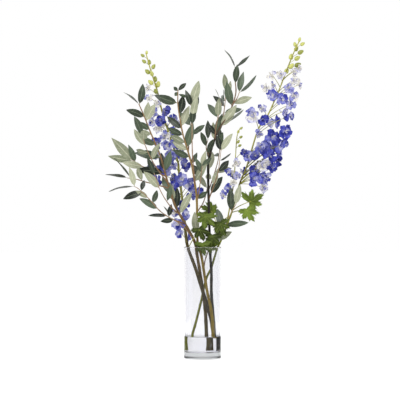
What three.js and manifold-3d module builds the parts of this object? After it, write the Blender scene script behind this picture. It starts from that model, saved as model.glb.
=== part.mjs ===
// A vase of delphiniums: a straight clear glass cylinder holding a little water, with two delphiniums
// and three olive branches standing in it. Millimetres, +Z up, +X to the right, -Y to the front.
// The origin is the centre of the vase's underside.
import * as THREE from "three";
import { mergeVertices } from "three/addons/utils/BufferGeometryUtils.js";
import Module from "manifold-3d";

const wasm = await Module();
wasm.setup();

// ---------- Driving dimensions ----------

const GAP = 0.35; // left between pieces that touch
const VASE = { radius: 50, height: 300, wall: 3.5, floor: 16, edge: 1.5, sides: 30 };
const WATER_LEVEL = 58;

// An olive leaf is folded and arched by these shares of its half width and its length. Its half width
// is given at stations along it, as [share of the length, share of the half width].
const OLIVE_LEAF = {
  thickness: 0.7, fold: 0.12, arch: 0.12, jitter: 14, depthLean: 16, sunk: 3,
  width: [0.17, 0.09, 8], // least share of the length, what is drawn on top of it, and mm added
  short: [[0.3, 0.95], [0.7, 0.94]],
  long: [[0.2, 0.74], [0.5, 1], [0.8, 0.74]], // for leaves longer than longFrom
  longFrom: 74,
};
// A green leaf's lobes are a number of degrees apart. Its shares are of its radius.
const GREEN_LEAF = {
  thickness: 0.9, droop: 0.3, roll: 18, apart: 52, outer: 0.07, tooth: 17, toothReach: 0.86,
  notch: 0.62, heel: 0.3, heelAngle: 140,
};
const GREEN_STALK = { radii: [1.4, 1], sides: 4, steps: 3, arch: 0.1 };
// A floret's shares are of its radius. Its sepals end in points at these degrees past each notch.
const FLORET = {
  notch: 0.5, rise: 0.12, cup: 0.3, behind: 0.26, turn: 47, pointed: [36], blunt: [24, 48], bluntFrom: 16,
};
const FLORET_FACE = { outwards: 0.75, front: 0.8, down: 0.12, behind: 10 };
const FLORET_STALK = { radii: [1, 1], sides: 3, arch: 0.12, drop: 6, climb: 0.75 };
const LAYERS = { apart: 13, rounds: 40 }; // mm of depth between florets that lie over each other
const BUD = { sides: 4, neck: 0.7, belly: 0.95, tip: 1.4, drop: 2.2 };
const TWIG = { radii: [1.7, 0.9], sides: 4 };
const SIDES = { stem: 5, spike: 4, tip: 4 };
const LEANS = [0, -18, 18, -36, 36, -54, 54]; // degrees of depth a leaf may be bent by, to stay clear

const UPPER = 0; // which side of an olive leaf faces the front, as degrees of roll about its midrib
const UNDER = 180;
const EDGE = 72;

// ---------- Routes, in mm: [across, depth, up] ----------

// Each stem runs from its foot in the water to its tip. The radii are at the foot and at the tip. A
// delphinium's stem, spike and bud tip start at these heights, and are made in these numbers of steps.
const STEMS = {
  delphinium_left: {
    radii: [6.2, 1.3],
    route: [
      [36, 15, 19], [31, 14, 58], [24, 10, 102], [7, 4, 159], [-4, 0, 195], [-20, -4, 245],
      [-39.5, -7, 299], [-46, 0, 340], [-50, 9, 385], [-64, 26, 502], [-69, 30, 537],
      [-107, 38, 657], [-124, 40, 726], [-142, 38, 783], [-154, 34, 826],
    ],
    spikeFrom: 312,
    budsFrom: 712,
    steps: [12, 12, 4],
  },
  delphinium_right: {
    radii: [3.7, 1.3],
    route: [
      [-28, 23, 19], [-28, 24, 58], [-19, 25, 91], [-4, 26, 150], [9.5, 22, 210],
      [24, 16, 242], [34, 9, 275], [42, 3, 300], [52, -2, 322], [79, -8, 394],
      [101, -12, 472], [120, -14, 519], [149, -18, 614], [173, -20, 649], [203, -24, 715],
      [223, -28, 767], [245, -30, 822], [259, -32, 851],
    ],
    spikeFrom: 466,
    budsFrom: 760,
    steps: [15, 11, 4],
  },
  olive_left: {
    radii: [5.3, 1.3],
    route: [
      [11, 37, 19], [11, 35, 58], [8, 23, 124], [3, 16, 164], [-3, 9, 207], [-15, -3, 280],
      [-22, -7, 315], [-46, -16, 361], [-73, -22, 409], [-87, -26, 453], [-101, -28, 501],
      [-114, -28, 547], [-141, -26, 611], [-157, -22, 652], [-171, -20, 684],
    ],
  },
  olive_centre: {
    radii: [4.5, 1.3],
    route: [
      [28, -8, 54], [27.5, -8, 80], [24, -7, 124], [11, -2, 188], [-3, 5, 275], [-13, 4, 304],
      [-15, -4, 418], [-20, -10, 466], [-28, -16, 515], [-40, -22, 560], [-52, -26, 600],
      [-60, -28, 641], [-66, -28, 681], [-66, -28, 721],
    ],
  },
  olive_right: {
    radii: [4.6, 1.2],
    route: [
      [33, 2, 19], [32, 2, 70], [28, 2, 124], [24, 0, 178], [24, 0, 234], [21, 0, 280],
      [17, 8, 412], [15, 12, 521], [19, 13, 542], [28, 8, 575], [39, 2, 607], [53, -4, 631],
      [69, -8, 655], [82, -10, 685], [90, -10, 717], [88, -6, 750], [88, 0, 785],
    ],
  },
};

// The right delphinium's side spike branches off its stem.
const SIDE_SPIKE = {
  radii: [1.9, 0.9],
  route: [[63, -5, 350], [77, 0, 426], [85, 4, 480], [89, 4, 538], [93, 2, 596], [101, -1, 620]],
  spikeFrom: 430,
  budsFrom: 566,
  steps: [4, 5, 3],
};

// Olive twigs with their leaves. A leaf is [height of its root on the twig, heading in degrees from
// +X towards +Z, length, side that faces the front].
const OLIVE_LEFT = {
  stem: [
    [684, 134, 54, EDGE], [684, 79, 59, UPPER], [649, 159, 53, UPPER], [640, 82, 50, UNDER],
    [638, 62, 52, UNDER], [614, 146, 37, UPPER], [602, 168, 37, UNDER], [574, 156, 56, UPPER],
    [539, 168, 74, UPPER], [504, 101, 52, UPPER], [499, 176, 78, UPPER], [439, 117, 63, UPPER],
    [423, 100, 50, UNDER], [402, 88, 59, UPPER], [388, 62, 66, UNDER], [501, 76, 59, UPPER],
  ],
  twigs: [
    {
      route: [
        [-46, -16, 361], [-83, -32, 376], [-114, -44, 397], [-140, -52, 426], [-167, -57, 453],
        [-183, -58, 463],
      ],
      leaves: [
        [463, 182, 69, EDGE], [462, 106, 54, UNDER], [450, 76, 31, UPPER], [447, 197, 56, UPPER],
        [431, 149, 40, UNDER], [418, 72, 37, UPPER], [402, 150, 56, UPPER],
      ],
    },
    {
      route: [[-90, -27, 458], [-144, -38, 472], [-179, -44, 482], [-202, -46, 485]],
      leaves: [[485, 166, 62, EDGE], [484, 123, 71, EDGE], [477, 108, 40, UNDER]],
    },
    {
      route: [[-99, -28, 490], [-141, -18, 507], [-168, -10, 520], [-190, -6, 534]],
      leaves: [
        [533, 134, 84, UNDER], [533, 170, 69, UNDER], [528, 112, 51, UPPER], [515, 167, 60, UNDER],
      ],
    },
    {
      route: [[-31, -10, 329], [-50, -28, 354], [-82, -42, 376], [-100, -48, 385]],
      leaves: [
        [383, 174, 50, EDGE], [373, 187, 36, UPPER], [379, 112, 36, EDGE], [381, 77, 38, UPPER],
      ],
    },
  ],
  sprays: [
    { route: [[-60, -18, 385], [-88, -58, 412], [-112, -92, 452], [-128, -112, 498]], leaves: 5 },
    { route: [[-92, -27, 470], [-128, -58, 520], [-150, -84, 566], [-160, -98, 600]], leaves: 5 },
  ],
};
const OLIVE_CENTRE = {
  stem: [
    [720, 137, 16, UPPER], [720, 46, 33, UPPER], [716, 230, 14, UPPER], [711, 340, 36, EDGE],
    [686, 161, 67, UPPER], [654, 80, 56, UPPER], [622, 69, 63, UNDER], [617, 140, 56, UPPER],
    [600, 156, 47, UPPER], [579, 153, 48, UNDER], [566, 77, 69, UPPER], [560, 150, 47, UNDER],
    [541, 157, 49, UPPER], [523, 65, 36, UPPER], [474, 56, 60, UNDER], [429, 34, 36, UPPER],
    [332, 96, 66, UNDER],
  ],
  twigs: [
    {
      route: [[-19, -8, 458], [-26, -36, 533], [-28, -42, 587], [-28, -44, 637], [-31, -44, 683]],
      leaves: [
        [683, 71, 68, UNDER], [677, 111, 46, UPPER], [637, 79, 71, UNDER], [627, 86, 46, UPPER],
        [603, 35, 42, UPPER], [560, 69, 43, UNDER],
      ],
    },
    {
      route: [[-15, -4, 418], [-7, -10, 467], [-1, -14, 518]],
      leaves: [
        [518, 77, 46, UNDER], [513, 45, 38, UPPER], [485, 119, 43, UPPER], [500, 112, 44, UPPER],
      ],
    },
    {
      route: [[4, 4, 232], [6, 0, 259], [18, -8, 293], [38, -24, 324], [60, -34, 356],
        [76, -36, 391], [90, -36, 415]],
      leaves: [
        [415, 80, 58, UNDER], [394, 93, 67, UPPER], [359, 5, 62, UPPER], [322, 24, 46, UNDER],
        [346, 106, 62, UPPER], [329, 78, 46, UPPER],
      ],
    },
  ],
  sprays: [
    { route: [[-15, -3, 392], [4, 32, 424], [16, 70, 476], [20, 98, 540]], leaves: 5 },
    { route: [[-38, -21, 553], [-36, 18, 596], [-30, 52, 642], [-26, 74, 684]], leaves: 5 },
  ],
};
const OLIVE_RIGHT = {
  stem: [
    [784, 111, 57, EDGE], [784, 35, 53, EDGE], [739, 85, 52, UPPER], [678, 101, 74, UPPER],
    [685, 17, 55, UNDER], [631, 29, 70, EDGE], [623, 54, 77, UNDER], [602, 129, 39, UPPER],
    [588, 94, 49, UNDER], [593, 242, 44, UPPER], [604, 72, 58, UPPER],
  ],
  twigs: [
    {
      route: [[19, 13, 542], [10, 16, 567], [15, 18, 591]],
      leaves: [[591, 91, 56, UPPER], [570, 109, 43, UPPER]],
    },
    {
      route: [[79, -10, 679], [93, -20, 700], [99, -24, 716]],
      leaves: [[715, 79, 59, UPPER], [715, 39, 66, EDGE]],
    },
    {
      route: [[34, 5, 591], [36, -14, 620], [42, -22, 649], [52, -26, 686]],
      leaves: [
        [686, 107, 45, EDGE], [684, 73, 39, EDGE], [649, 87, 51, UNDER], [646, 124, 52, UPPER],
        [633, 133, 59, EDGE],
      ],
    },
    {
      route: [[16.6, 8, 426], [31, -8, 466], [42, -14, 501], [46, -16, 531], [50, -16, 561]],
      leaves: [
        [561, 55, 58, UNDER], [559, 104, 43, UPPER], [531, 29, 37, EDGE], [501, 47, 46, UPPER],
        [464, 78, 41, UNDER], [442, 56, 59, UPPER],
      ],
    },
  ],
  sprays: [
    { route: [[16, 10, 450], [30, 48, 490], [44, 84, 540], [50, 108, 590]], leaves: 5 },
    { route: [[46, 0, 620], [56, 34, 652], [62, 62, 694], [64, 78, 730]], leaves: 5 },
  ],
};
// Leaves of a spray: from a share of the way up it, leaning out by so many degrees.
const SPRAY = {
  from: 0.42, to: 0.98, tip: 0.96, lean: 42, leanDrawn: 12, tipLean: 6, turnDrawn: 30, rollDrawn: 50,
  length: [46, 64], width: 0.34, underShare: 0.45,
};

// Green delphinium leaves: [stem height of the stalk's root, middle of the palm, heading, radius].
const GREEN_LEAVES = {
  delphinium_left: [
    [296, [-8, -34, 346], -68, 36],
  ],
  delphinium_right: [
    [398, [130, -24, 422], 30, 42],
    [392, [120, -38, 398], -66, 38],
    [322, [24, 18, 396], 105, 38],
    [285, [26, -30, 328], -96, 36],
    [292, [0, -26, 306], -84, 34],
    [350, [22, -18, 306], -100, 27],
    [384, [48, -52, 362], -72, 38],
    [318, [8, -50, 382], -98, 38],
  ],
};

// Florets: [across, depth from the spike's axis, up, radius].
const FLORETS = {
  delphinium_left: [
    [-148, -8, 730, 13], [-145, -4, 704, 15], [-121, -12, 689, 13], [-132, -10, 665, 16],
    [-137, 2, 640, 16], [-102, -6, 665, 17], [-113, -18, 643, 18], [-80, -8, 648, 17],
    [-61, -2, 635, 13], [-115, -16, 621, 17], [-102, -20, 600, 17], [-121, -10, 581, 18],
    [-94, -22, 575, 21], [-69, -6, 578, 16], [-121, -14, 548, 16], [-85, -20, 548, 18],
    [-49, -8, 521, 20], [-132, -10, 513, 18], [-99, -22, 507, 20], [-123, -12, 483, 17],
    [-58, -14, 483, 20], [-80, -16, 464, 17], [-34, -12, 469, 17], [-31, -10, 440, 16],
    [-12, 8, 450, 16], [-50, -14, 412, 17], [-72, -10, 393, 16], [-45, -16, 385, 15],
    [-64, -12, 361, 17], [-61, -8, 337, 17], [-40, 12, 326, 12], [-92, 24, 612, 21],
    [-76, 25, 552, 21], [-60, 24, 474, 20], [-60, -2, 565, 14], [-54, -6, 545, 14],
    [-78, -10, 520, 14], [-76, -4, 484, 15], [-30, -8, 458, 14],
  ],
  delphinium_right: [
    [186, -2, 760, 13], [210, -10, 760, 15], [243, -8, 768, 15], [259, -2, 779, 12],
    [245, -12, 746, 15], [259, 4, 735, 12], [229, -14, 727, 16], [245, -10, 705, 17],
    [172, -8, 727, 15], [191, 2, 735, 12], [189, -12, 708, 18], [213, -14, 694, 17],
    [235, -8, 681, 17], [136, -8, 654, 22], [164, -14, 640, 17], [161, 2, 673, 15],
    [216, -6, 662, 18], [235, -2, 651, 16], [221, -14, 610, 22], [186, -18, 597, 22],
    [151, -4, 605, 13], [205, -16, 572, 21], [156, -18, 567, 22], [180, -22, 545, 20],
    [123, -8, 545, 17], [202, -8, 534, 18], [161, -22, 518, 21], [186, -12, 513, 18],
    [137, -16, 483, 22], [170, -10, 483, 18], [164, -4, 459, 15], [196, 18, 640, 21],
    [190, 20, 570, 22], [156, 20, 516, 22], [220, 2, 578, 15], [183, 6, 568, 17],
    [203, -10, 552, 16], [140, -10, 545, 16], [180, -8, 526, 16], [146, -6, 516, 15],
    [133, -10, 503, 17], [158, -14, 490, 16],
  ],
  delphinium_right_side: [
    [110, -4, 556, 12], [91, -8, 526, 16], [72, -4, 502, 12], [94, -10, 491, 12],
    [110, -2, 505, 15], [84, -9, 472, 12], [72, -8, 459, 13], [57, -4, 440, 13], [82, 12, 496, 13],
  ],
};

// Buds: [across, up, radius], close to the spike's tip.
const BUDS = {
  delphinium_left: [
    [-163, 819, 4.2], [-152, 828, 3.8], [-159, 803, 4.7], [-145, 802, 5.2], [-133, 789, 5.2],
    [-150, 776, 5.9], [-138, 770, 5.2], [-129, 756, 5.9], [-141, 746, 5.9], [-121, 742, 6.4],
    [-127, 722, 5.4],
  ],
  delphinium_right: [
    [260, 856, 4.2], [248, 844, 4.7], [268, 844, 4.7], [252, 832, 5.4], [263, 822, 5.9],
    [238, 811, 6.1], [254, 806, 5.9], [256, 789, 6.4], [238, 785, 6.1], [226, 773, 6.1],
  ],
  delphinium_right_side: [
    [105, 620, 3.1], [97, 611, 3.5], [104, 596, 3.5], [97, 584, 3.8], [101, 573, 3.5],
  ],
};

const COLOURS = {
  glass: 0xe9edf0, water: 0xe4e9ee, olive: 0x66735c, darkStem: 0x4c4a2c, greenStem: 0x55852a,
  blue: 0x4448b4, paleBlue: 0xa9a8dc, bud: 0xb4bc48,
};

// ---------- Small tools ----------

const vec = (x, y, z) => new THREE.Vector3(x, y, z);
const FRONT = vec(0, -1, 0);
const radians = THREE.MathUtils.degToRad;

/** A repeatable source of numbers from 0 to 1. */
function drawer(seed) {
  let state = seed;
  return () => {
    state = (state + 0x6d2b79f5) >>> 0;
    let mixed = Math.imul(state ^ (state >>> 15), state | 1);
    mixed ^= mixed + Math.imul(mixed ^ (mixed >>> 7), mixed | 61);
    return ((mixed ^ (mixed >>> 14)) >>> 0) / 4294967296;
  };
}

/** A geometry from points and triangles of point numbers. */
function skin(points, faces) {
  const flat = points.flatMap((p) => [p.x, p.y, p.z]);
  return new THREE.BufferGeometry()
    .setAttribute("position", new THREE.Float32BufferAttribute(flat, 3))
    .setIndex(faces.flat());
}

/** The solid inside a closed geometry, faces out. */
function solid(geometry) {
  const bare = new THREE.BufferGeometry()
    .setAttribute("position", geometry.getAttribute("position"))
    .setIndex(geometry.index);
  const merged = mergeVertices(bare, 1e-4);
  const faces = [];
  for (let i = 0; i < merged.index.count; i += 3) {
    const [a, b, c] = [0, 1, 2].map((k) => merged.index.getX(i + k));
    if (a !== b && b !== c && c !== a) faces.push([a, b, c]);
  }
  const make = (triangles) =>
    new wasm.Manifold(
      new wasm.Mesh({
        numProp: 3,
        vertProperties: merged.attributes.position.array,
        triVerts: new Uint32Array(triangles.flat()),
      }),
    );
  const made = make(faces);
  return made.volume() > 0 ? made : make(faces.map(([a, b, c]) => [a, c, b]));
}

/** Rings of points skinned one to the next, and drawn in to a point at each end. */
function loft(first, rings, last) {
  const count = rings[0].length;
  const end = 1 + (rings.length - 1) * count;
  const faces = [];
  for (let i = 0; i < count; i++) {
    const j = (i + 1) % count;
    faces.push([0, 1 + j, 1 + i], [end + i, end + j, end + count]);
    for (let start = 1; start < end; start += count)
      faces.push(
        [start + i, start + j, start + count + j],
        [start + i, start + count + j, start + count + i],
      );
  }
  return solid(skin([first, ...rings.flat(), last], faces));
}

/**
 * A thin plate of lobes round a middle, as thick along its normal as stated. The rim lists each lobe's
 * points, and the first of each lobe is the notch before it.
 */
function plate(middle, lobes, normal, thickness) {
  const half = normal.clone().multiplyScalar(thickness / 2);
  const rim = lobes.flat();
  const top = [middle, ...rim].map((p) => p.clone().add(half));
  const under = [middle, ...rim].map((p) => p.clone().sub(half));
  const low = rim.length + 1;
  const faces = [];
  const both = (a, b, c) => faces.push([a, b, c], [low + a, low + c, low + b]);
  let notch = 1;
  for (const lobe of lobes) {
    const next = notch + lobe.length > rim.length ? 1 : notch + lobe.length;
    both(0, notch, next);
    for (let i = 1; i < lobe.length - 1; i++) both(notch, notch + i, notch + i + 1);
    both(notch, notch + lobe.length - 1, next);
    notch = next;
  }
  for (let i = 1; i <= rim.length; i++) {
    const j = (i % rim.length) + 1;
    faces.push([i, low + i, low + j], [i, low + j, j]);
  }
  return solid(skin([...top, ...under], faces));
}

/** The smooth line through a route. */
function lineOf(route) {
  return new THREE.CatmullRomCurve3(route.map((p) => vec(...p)), false, "catmullrom", 0.5);
}

/** Where on a rising line a height is reached, from 0 at its start to 1 at its end. */
function reaches(line, height) {
  let [low, high] = [0, 1];
  for (let i = 0; i < 40; i++) {
    const middle = (low + high) / 2;
    if (line.getPoint(middle).z < height) low = middle;
    else high = middle;
  }
  return low;
}

/** Two directions square to a direction and to each other. */
function squareTo(direction) {
  const steep = Math.abs(direction.y) > 0.8;
  const side = vec(0, 0, 0).crossVectors(steep ? vec(0, 0, 1) : vec(0, 1, 0), direction).normalize();
  return [side, vec(0, 0, 0).crossVectors(direction, side)];
}

/** A tapered rod along part of a line, with flat ends. */
function rod(line, [rootRadius, tipRadius], sides, steps, from = 0, to = 1, grow = 0) {
  const rings = [];
  for (let step = 0; step <= steps; step++) {
    const t = from + ((to - from) * step) / steps;
    const [side, up] = squareTo(line.getTangent(t));
    const radius = THREE.MathUtils.lerp(rootRadius, tipRadius, t) + grow;
    const centre = line.getPoint(t);
    if (step === 0) centre.addScaledVector(line.getTangent(t), -grow);
    const ring = [];
    for (let i = 0; i < sides; i++) {
      const turn = (2 * Math.PI * i) / sides;
      ring.push(
        centre.clone().addScaledVector(side, radius * Math.cos(turn))
          .addScaledVector(up, radius * Math.sin(turn)),
      );
    }
    rings.push(ring);
  }
  const foot = line.getPoint(from).addScaledVector(line.getTangent(from), -grow);
  return loft(foot, rings, line.getPoint(to));
}

/** A short stalk between two points, arching upwards by a share of its length. */
function stalk(from, to, radii, sides, steps, arch) {
  const middle = from.clone().lerp(to, 0.5);
  middle.z += arch * from.distanceTo(to);
  const line = new THREE.QuadraticBezierCurve3(from, middle, to);
  return rod(line, radii, sides, steps);
}

// ---------- Keeping pieces of different nodes clear of each other ----------

const placed = new Map(); // node name to its solids

const touching = (a, b) =>
  [0, 1, 2].every((k) => a.min[k] <= b.max[k] && b.min[k] <= a.max[k]);

/** True if a solid crosses nothing that belongs to another node. */
function isClear(owner, piece) {
  const box = piece.boundingBox();
  for (const [name, pieces] of placed) {
    if (name === owner) continue;
    for (const other of pieces)
      if (touching(box, other.box) && !other.solid.intersect(piece).isEmpty()) return false;
  }
  return true;
}

/** Gives a solid to a node. */
function keep(owner, piece) {
  if (!placed.has(owner)) placed.set(owner, []);
  placed.get(owner).push({ solid: piece, box: piece.boundingBox() });
}

/** The one body of a node: its pieces joined, sealed hollows filled and loose scraps dropped. */
function bodyOf(owner) {
  const joined = wasm.Manifold.union(placed.get(owner).map((piece) => piece.solid));
  const bodies = joined.simplify(0.25).decompose();
  return bodies.reduce((best, body) => (body.volume() > best.volume() ? body : best));
}

// ---------- Leaves, florets and buds ----------

/** The direction of a heading in the front view, leaned away from it into the depth. */
function headingOf(heading, lean) {
  const [turn, depth] = [radians(heading), radians(lean)];
  return vec(
    Math.cos(turn) * Math.cos(depth), Math.sin(depth), Math.sin(turn) * Math.cos(depth),
  );
}

/** The direction square to a leaf that faces the front most, rolled about the leaf. */
function facing(direction, roll) {
  const face = FRONT.clone().addScaledVector(direction, -FRONT.dot(direction));
  if (face.length() < 0.2) face.set(0, 0, 1).addScaledVector(direction, -direction.z);
  return face.normalize().applyAxisAngle(direction, radians(roll));
}

/** A lance-shaped olive leaf, folded along its midrib and arched towards its underside. */
function oliveLeaf(root, direction, face, length, width, grow = 0) {
  const side = vec(0, 0, 0).crossVectors(direction, face);
  const half = OLIVE_LEAF.thickness / 2 + grow;
  const midribAt = (s) =>
    root.clone().addScaledVector(direction, s * (length + grow))
      .addScaledVector(face, -OLIVE_LEAF.arch * length * s * s);
  const stations = length > OLIVE_LEAF.longFrom ? OLIVE_LEAF.long : OLIVE_LEAF.short;
  const rings = stations.map(([s, share]) => {
    const reach = (width / 2) * share + grow;
    const across = (k, lift) =>
      midribAt(s).addScaledVector(side, k * reach)
        .addScaledVector(face, Math.abs(k) * reach * OLIVE_LEAF.fold + lift);
    return [
      across(1, half), across(0, half), across(-1, half),
      across(-1, -half), across(0, -half), across(1, -half),
    ];
  });
  return loft(root, rings, midribAt(1));
}

/** A palm-shaped green leaf of five toothed lobes on a long stalk. */
function greenLeaf(middle, heading, radius, lean, grow = 0) {
  const { droop, roll, apart, outer, tooth, toothReach, notch, heel, heelAngle } = GREEN_LEAF;
  const direction = headingOf(heading, lean);
  const face = facing(direction, roll);
  const side = vec(0, 0, 0).crossVectors(face, direction);
  const rimAt = (turn, share) => {
    const [along, across] = [Math.cos(radians(turn)), Math.sin(radians(turn))];
    const reach = radius * share + grow;
    return middle.clone().addScaledVector(direction, along * reach)
      .addScaledVector(side, across * reach)
      .addScaledVector(face, -droop * radius * share * share);
  };
  const lobes = [[rimAt(-heelAngle, heel)]];
  for (let lobe = -2; lobe <= 2; lobe++) {
    const turn = lobe * apart;
    const reach = 1 - outer * Math.abs(lobe);
    lobes.at(-1).push(
      rimAt(turn - tooth, toothReach * reach),
      rimAt(turn, reach),
      rimAt(turn + tooth, toothReach * reach),
    );
    lobes.push([rimAt(turn + apart / 2, lobe < 2 ? notch : heel)]);
  }
  return plate(middle, lobes, face, GREEN_LEAF.thickness + 2 * grow);
}

/** A floret: five petal-like sepals in a shallow star, which narrows behind to a blunt calyx. */
function floret(middle, face, radius, turn) {
  const { notch, rise, cup, behind, bluntFrom, pointed, blunt } = FLORET;
  const [side, up] = squareTo(face);
  const rimAt = (degrees, share, height) =>
    middle.clone()
      .addScaledVector(side, Math.cos(radians(degrees)) * radius * share)
      .addScaledVector(up, Math.sin(radians(degrees)) * radius * share)
      .addScaledVector(face, radius * height);
  const ends = radius > bluntFrom ? blunt : pointed;
  const rim = [];
  for (let start = turn; start < turn + 359; start += 72)
    rim.push(rimAt(start, notch, rise), ...ends.map((end) => rimAt(start + end, 1, cup)));
  return loft(middle, [rim], middle.clone().addScaledVector(face, -behind * radius));
}

/** A closed bud: a teardrop that grows from its root through a narrow neck to a blunt belly. */
function bud(root, middle, radius) {
  const direction = middle.clone().sub(root);
  const [side, up] = squareTo(direction.clone().normalize());
  const ringAt = (s, reach) =>
    Array.from({ length: BUD.sides }, (_, i) => {
      const turn = (2 * Math.PI * i) / BUD.sides;
      return root.clone().addScaledVector(direction, s)
        .addScaledVector(side, reach * Math.cos(turn)).addScaledVector(up, reach * Math.sin(turn));
    });
  const rings = [ringAt(0, BUD.neck), ringAt(BUD.belly, radius)];
  return loft(root, rings, root.clone().addScaledVector(direction, BUD.tip));
}

// ---------- The vase and its water ----------

/** A solid of revolution about the vase's axis, from a profile of [radius, height]. */
function lathe(profile) {
  const points = profile.map(([radius, height]) => new THREE.Vector2(radius, height));
  return solid(new THREE.LatheGeometry(points, VASE.sides).rotateX(Math.PI / 2));
}

/** The vase: a straight cylinder with a thick flat base and eased edges. */
function vase() {
  const { radius, height, wall, floor, edge } = VASE;
  const inner = radius - wall;
  return lathe([
    [0, 0], [radius - edge, 0], [radius, edge], [radius, height - 1], [radius - 1, height],
    [inner + 1, height], [inner, height - 1], [inner, floor], [0, floor],
  ]);
}

/** The water, less a plain hole for each stem. */
function water(holes) {
  const reach = VASE.radius - VASE.wall - GAP;
  const bottom = VASE.floor + GAP;
  const block = lathe([
    [0, bottom], [reach, bottom], [reach, WATER_LEVEL], [0, WATER_LEVEL],
  ]);
  return block.subtract(wasm.Manifold.union(holes));
}

// ---------- Delphiniums ----------

const holes = []; // for the stems, in the water

/** Cuts a delphinium's line into its stem, its spike and its bud tip, a gap apart. */
function stageRods(owner, { radii, spikeFrom, budsFrom, steps }, line, foot) {
  const half = GAP / 2;
  const cut = (height) => [reaches(line, height - half), reaches(line, height + half)];
  const [stemEnd, spikeStart] = cut(spikeFrom);
  const [spikeEnd, budStart] = cut(budsFrom);
  keep(foot, rod(line, radii, SIDES.stem, steps[0], 0, stemEnd));
  holes.push(rod(line, radii, SIDES.stem, steps[0], 0, stemEnd, GAP));
  keep(`${owner}_spike`, rod(line, radii, SIDES.spike, steps[1], spikeStart, spikeEnd));
  keep(`${owner}_buds`, rod(line, radii, SIDES.tip, steps[2], budStart, 1));
}

/** Moves florets that lie over each other apart in depth, so that they overlap like tiles. */
function layered(florets) {
  const spread = florets.map((entry) => [...entry]);
  for (let round = 0; round < LAYERS.rounds; round++)
    for (let i = 0; i < spread.length; i++)
      for (let j = i + 1; j < spread.length; j++) {
        const [a, b] = [spread[i], spread[j]];
        const near = 1 - Math.hypot(a[0] - b[0], a[2] - b[2]) / (a[3] + b[3]);
        const lack = near > 0 ? LAYERS.apart * Math.min(1, 2 * near) - Math.abs(a[1] - b[1]) : 0;
        if (lack <= 0) continue;
        const push = (a[1] < b[1] ? -lack : lack) / 4;
        a[1] += push;
        b[1] -= push;
      }
  return spread;
}

/** A floret on its own stalk, which climbs to it from the spike's axis. */
function placeFloret(owner, line, [x, depth, z, radius], turn, lowest) {
  const level = line.getPoint(reaches(line, z));
  const middle = vec(x, level.y + depth, z);
  const away = vec(x - level.x, depth, 0);
  const { radii, sides, arch, drop, climb } = FLORET_STALK;
  const rootHeight = Math.max(lowest + 3, z - drop - climb * away.length());
  const root = line.getPoint(reaches(line, rootHeight));
  const { outwards, front, down, behind } = FLORET_FACE;
  const face = away.normalize().multiplyScalar(outwards).addScaledVector(FRONT, front)
    .add(vec(0, 0, -down)).normalize();
  if (depth > behind) face.y = Math.abs(face.y) * 1.4;
  face.normalize();
  keep(owner, floret(middle, face, radius, turn));
  const calyx = middle.clone().addScaledVector(face, (-FLORET.behind / 2) * radius);
  keep(owner, stalk(root, calyx, radii, sides, 1, arch));
}

/** A bud that grows from the spike's axis, leaning to the front and the back in turn. */
function placeBud(owner, line, [x, z, radius], index, lowest) {
  const root = line.getPoint(reaches(line, Math.max(lowest + 1.5, z - BUD.drop * radius)));
  const swing = index % 2 ? 1 : -1;
  keep(owner, bud(root, vec(x, root.y + swing * radius, z), radius));
}

/** A green leaf on its stalk, bent clear of the other nodes. */
function placeGreenLeaf(owner, line, [rootHeight, centre, heading, radius]) {
  const root = line.getPoint(reaches(line, rootHeight));
  const middle = vec(...centre);
  const lean = LEANS.find((each) =>
    isClear(owner, greenLeaf(middle, heading, radius, each, GAP)));
  if (lean === undefined) return;
  const { radii, sides, steps, arch } = GREEN_STALK;
  keep(owner, greenLeaf(middle, heading, radius, lean));
  keep(owner, stalk(root, middle, radii, sides, steps, arch));
}

// ---------- Olive branches ----------

/** A leaf of an olive twig, bent clear of the other nodes. */
function placeOliveLeaf(owner, root, heading, length, roll, draw) {
  const lean = (draw() - 0.5) * 2 * OLIVE_LEAF.depthLean;
  const turned = roll + (draw() - 0.5) * 2 * OLIVE_LEAF.jitter;
  const [share, drawn, added] = OLIVE_LEAF.width;
  const width = length * (share + drawn * draw()) + added;
  for (const extra of LEANS) {
    const direction = headingOf(heading, lean + extra);
    const face = facing(direction, turned);
    if (!isClear(owner, oliveLeaf(root, direction, face, length, width, GAP))) continue;
    keep(owner, oliveLeaf(root, direction, face, length, width));
    return;
  }
}

/** A spray that reaches into the depth: leaves in crossed pairs round a twig, with one at its tip. */
function placeSpray(owner, { route, leaves }, draw) {
  const line = lineOf(route);
  const [shortest, longest] = SPRAY.length;
  for (let i = 0; i < leaves; i++) {
    const last = i === leaves - 1;
    const t = last ? SPRAY.tip : SPRAY.from + ((SPRAY.to - SPRAY.from) * i) / (leaves - 1);
    const along = line.getTangent(t);
    const [side, up] = squareTo(along);
    const turn = radians(180 * i + 90 * Math.floor(i / 2) + SPRAY.turnDrawn * draw());
    const lean = radians(last ? SPRAY.tipLean : SPRAY.lean + SPRAY.leanDrawn * draw());
    const length = shortest + (longest - shortest) * draw();
    const roll = draw() < SPRAY.underShare ? UNDER : UPPER;
    const direction = along.multiplyScalar(Math.cos(lean))
      .addScaledVector(side, Math.sin(lean) * Math.cos(turn))
      .addScaledVector(up, Math.sin(lean) * Math.sin(turn));
    const face = facing(direction, roll + SPRAY.rollDrawn * (draw() - 0.5));
    const root = line.getPoint(t);
    const width = SPRAY.width * length;
    if (isClear(owner, oliveLeaf(root, direction, face, length, width, GAP)))
      keep(owner, oliveLeaf(root, direction, face, length, width));
  }
}

/** The twigs of an olive branch. */
function placeWood(owner, { twigs, sprays }) {
  for (const { route } of [...twigs, ...sprays])
    keep(owner, rod(lineOf(route), TWIG.radii, TWIG.sides, route.length - 1));
}

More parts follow.
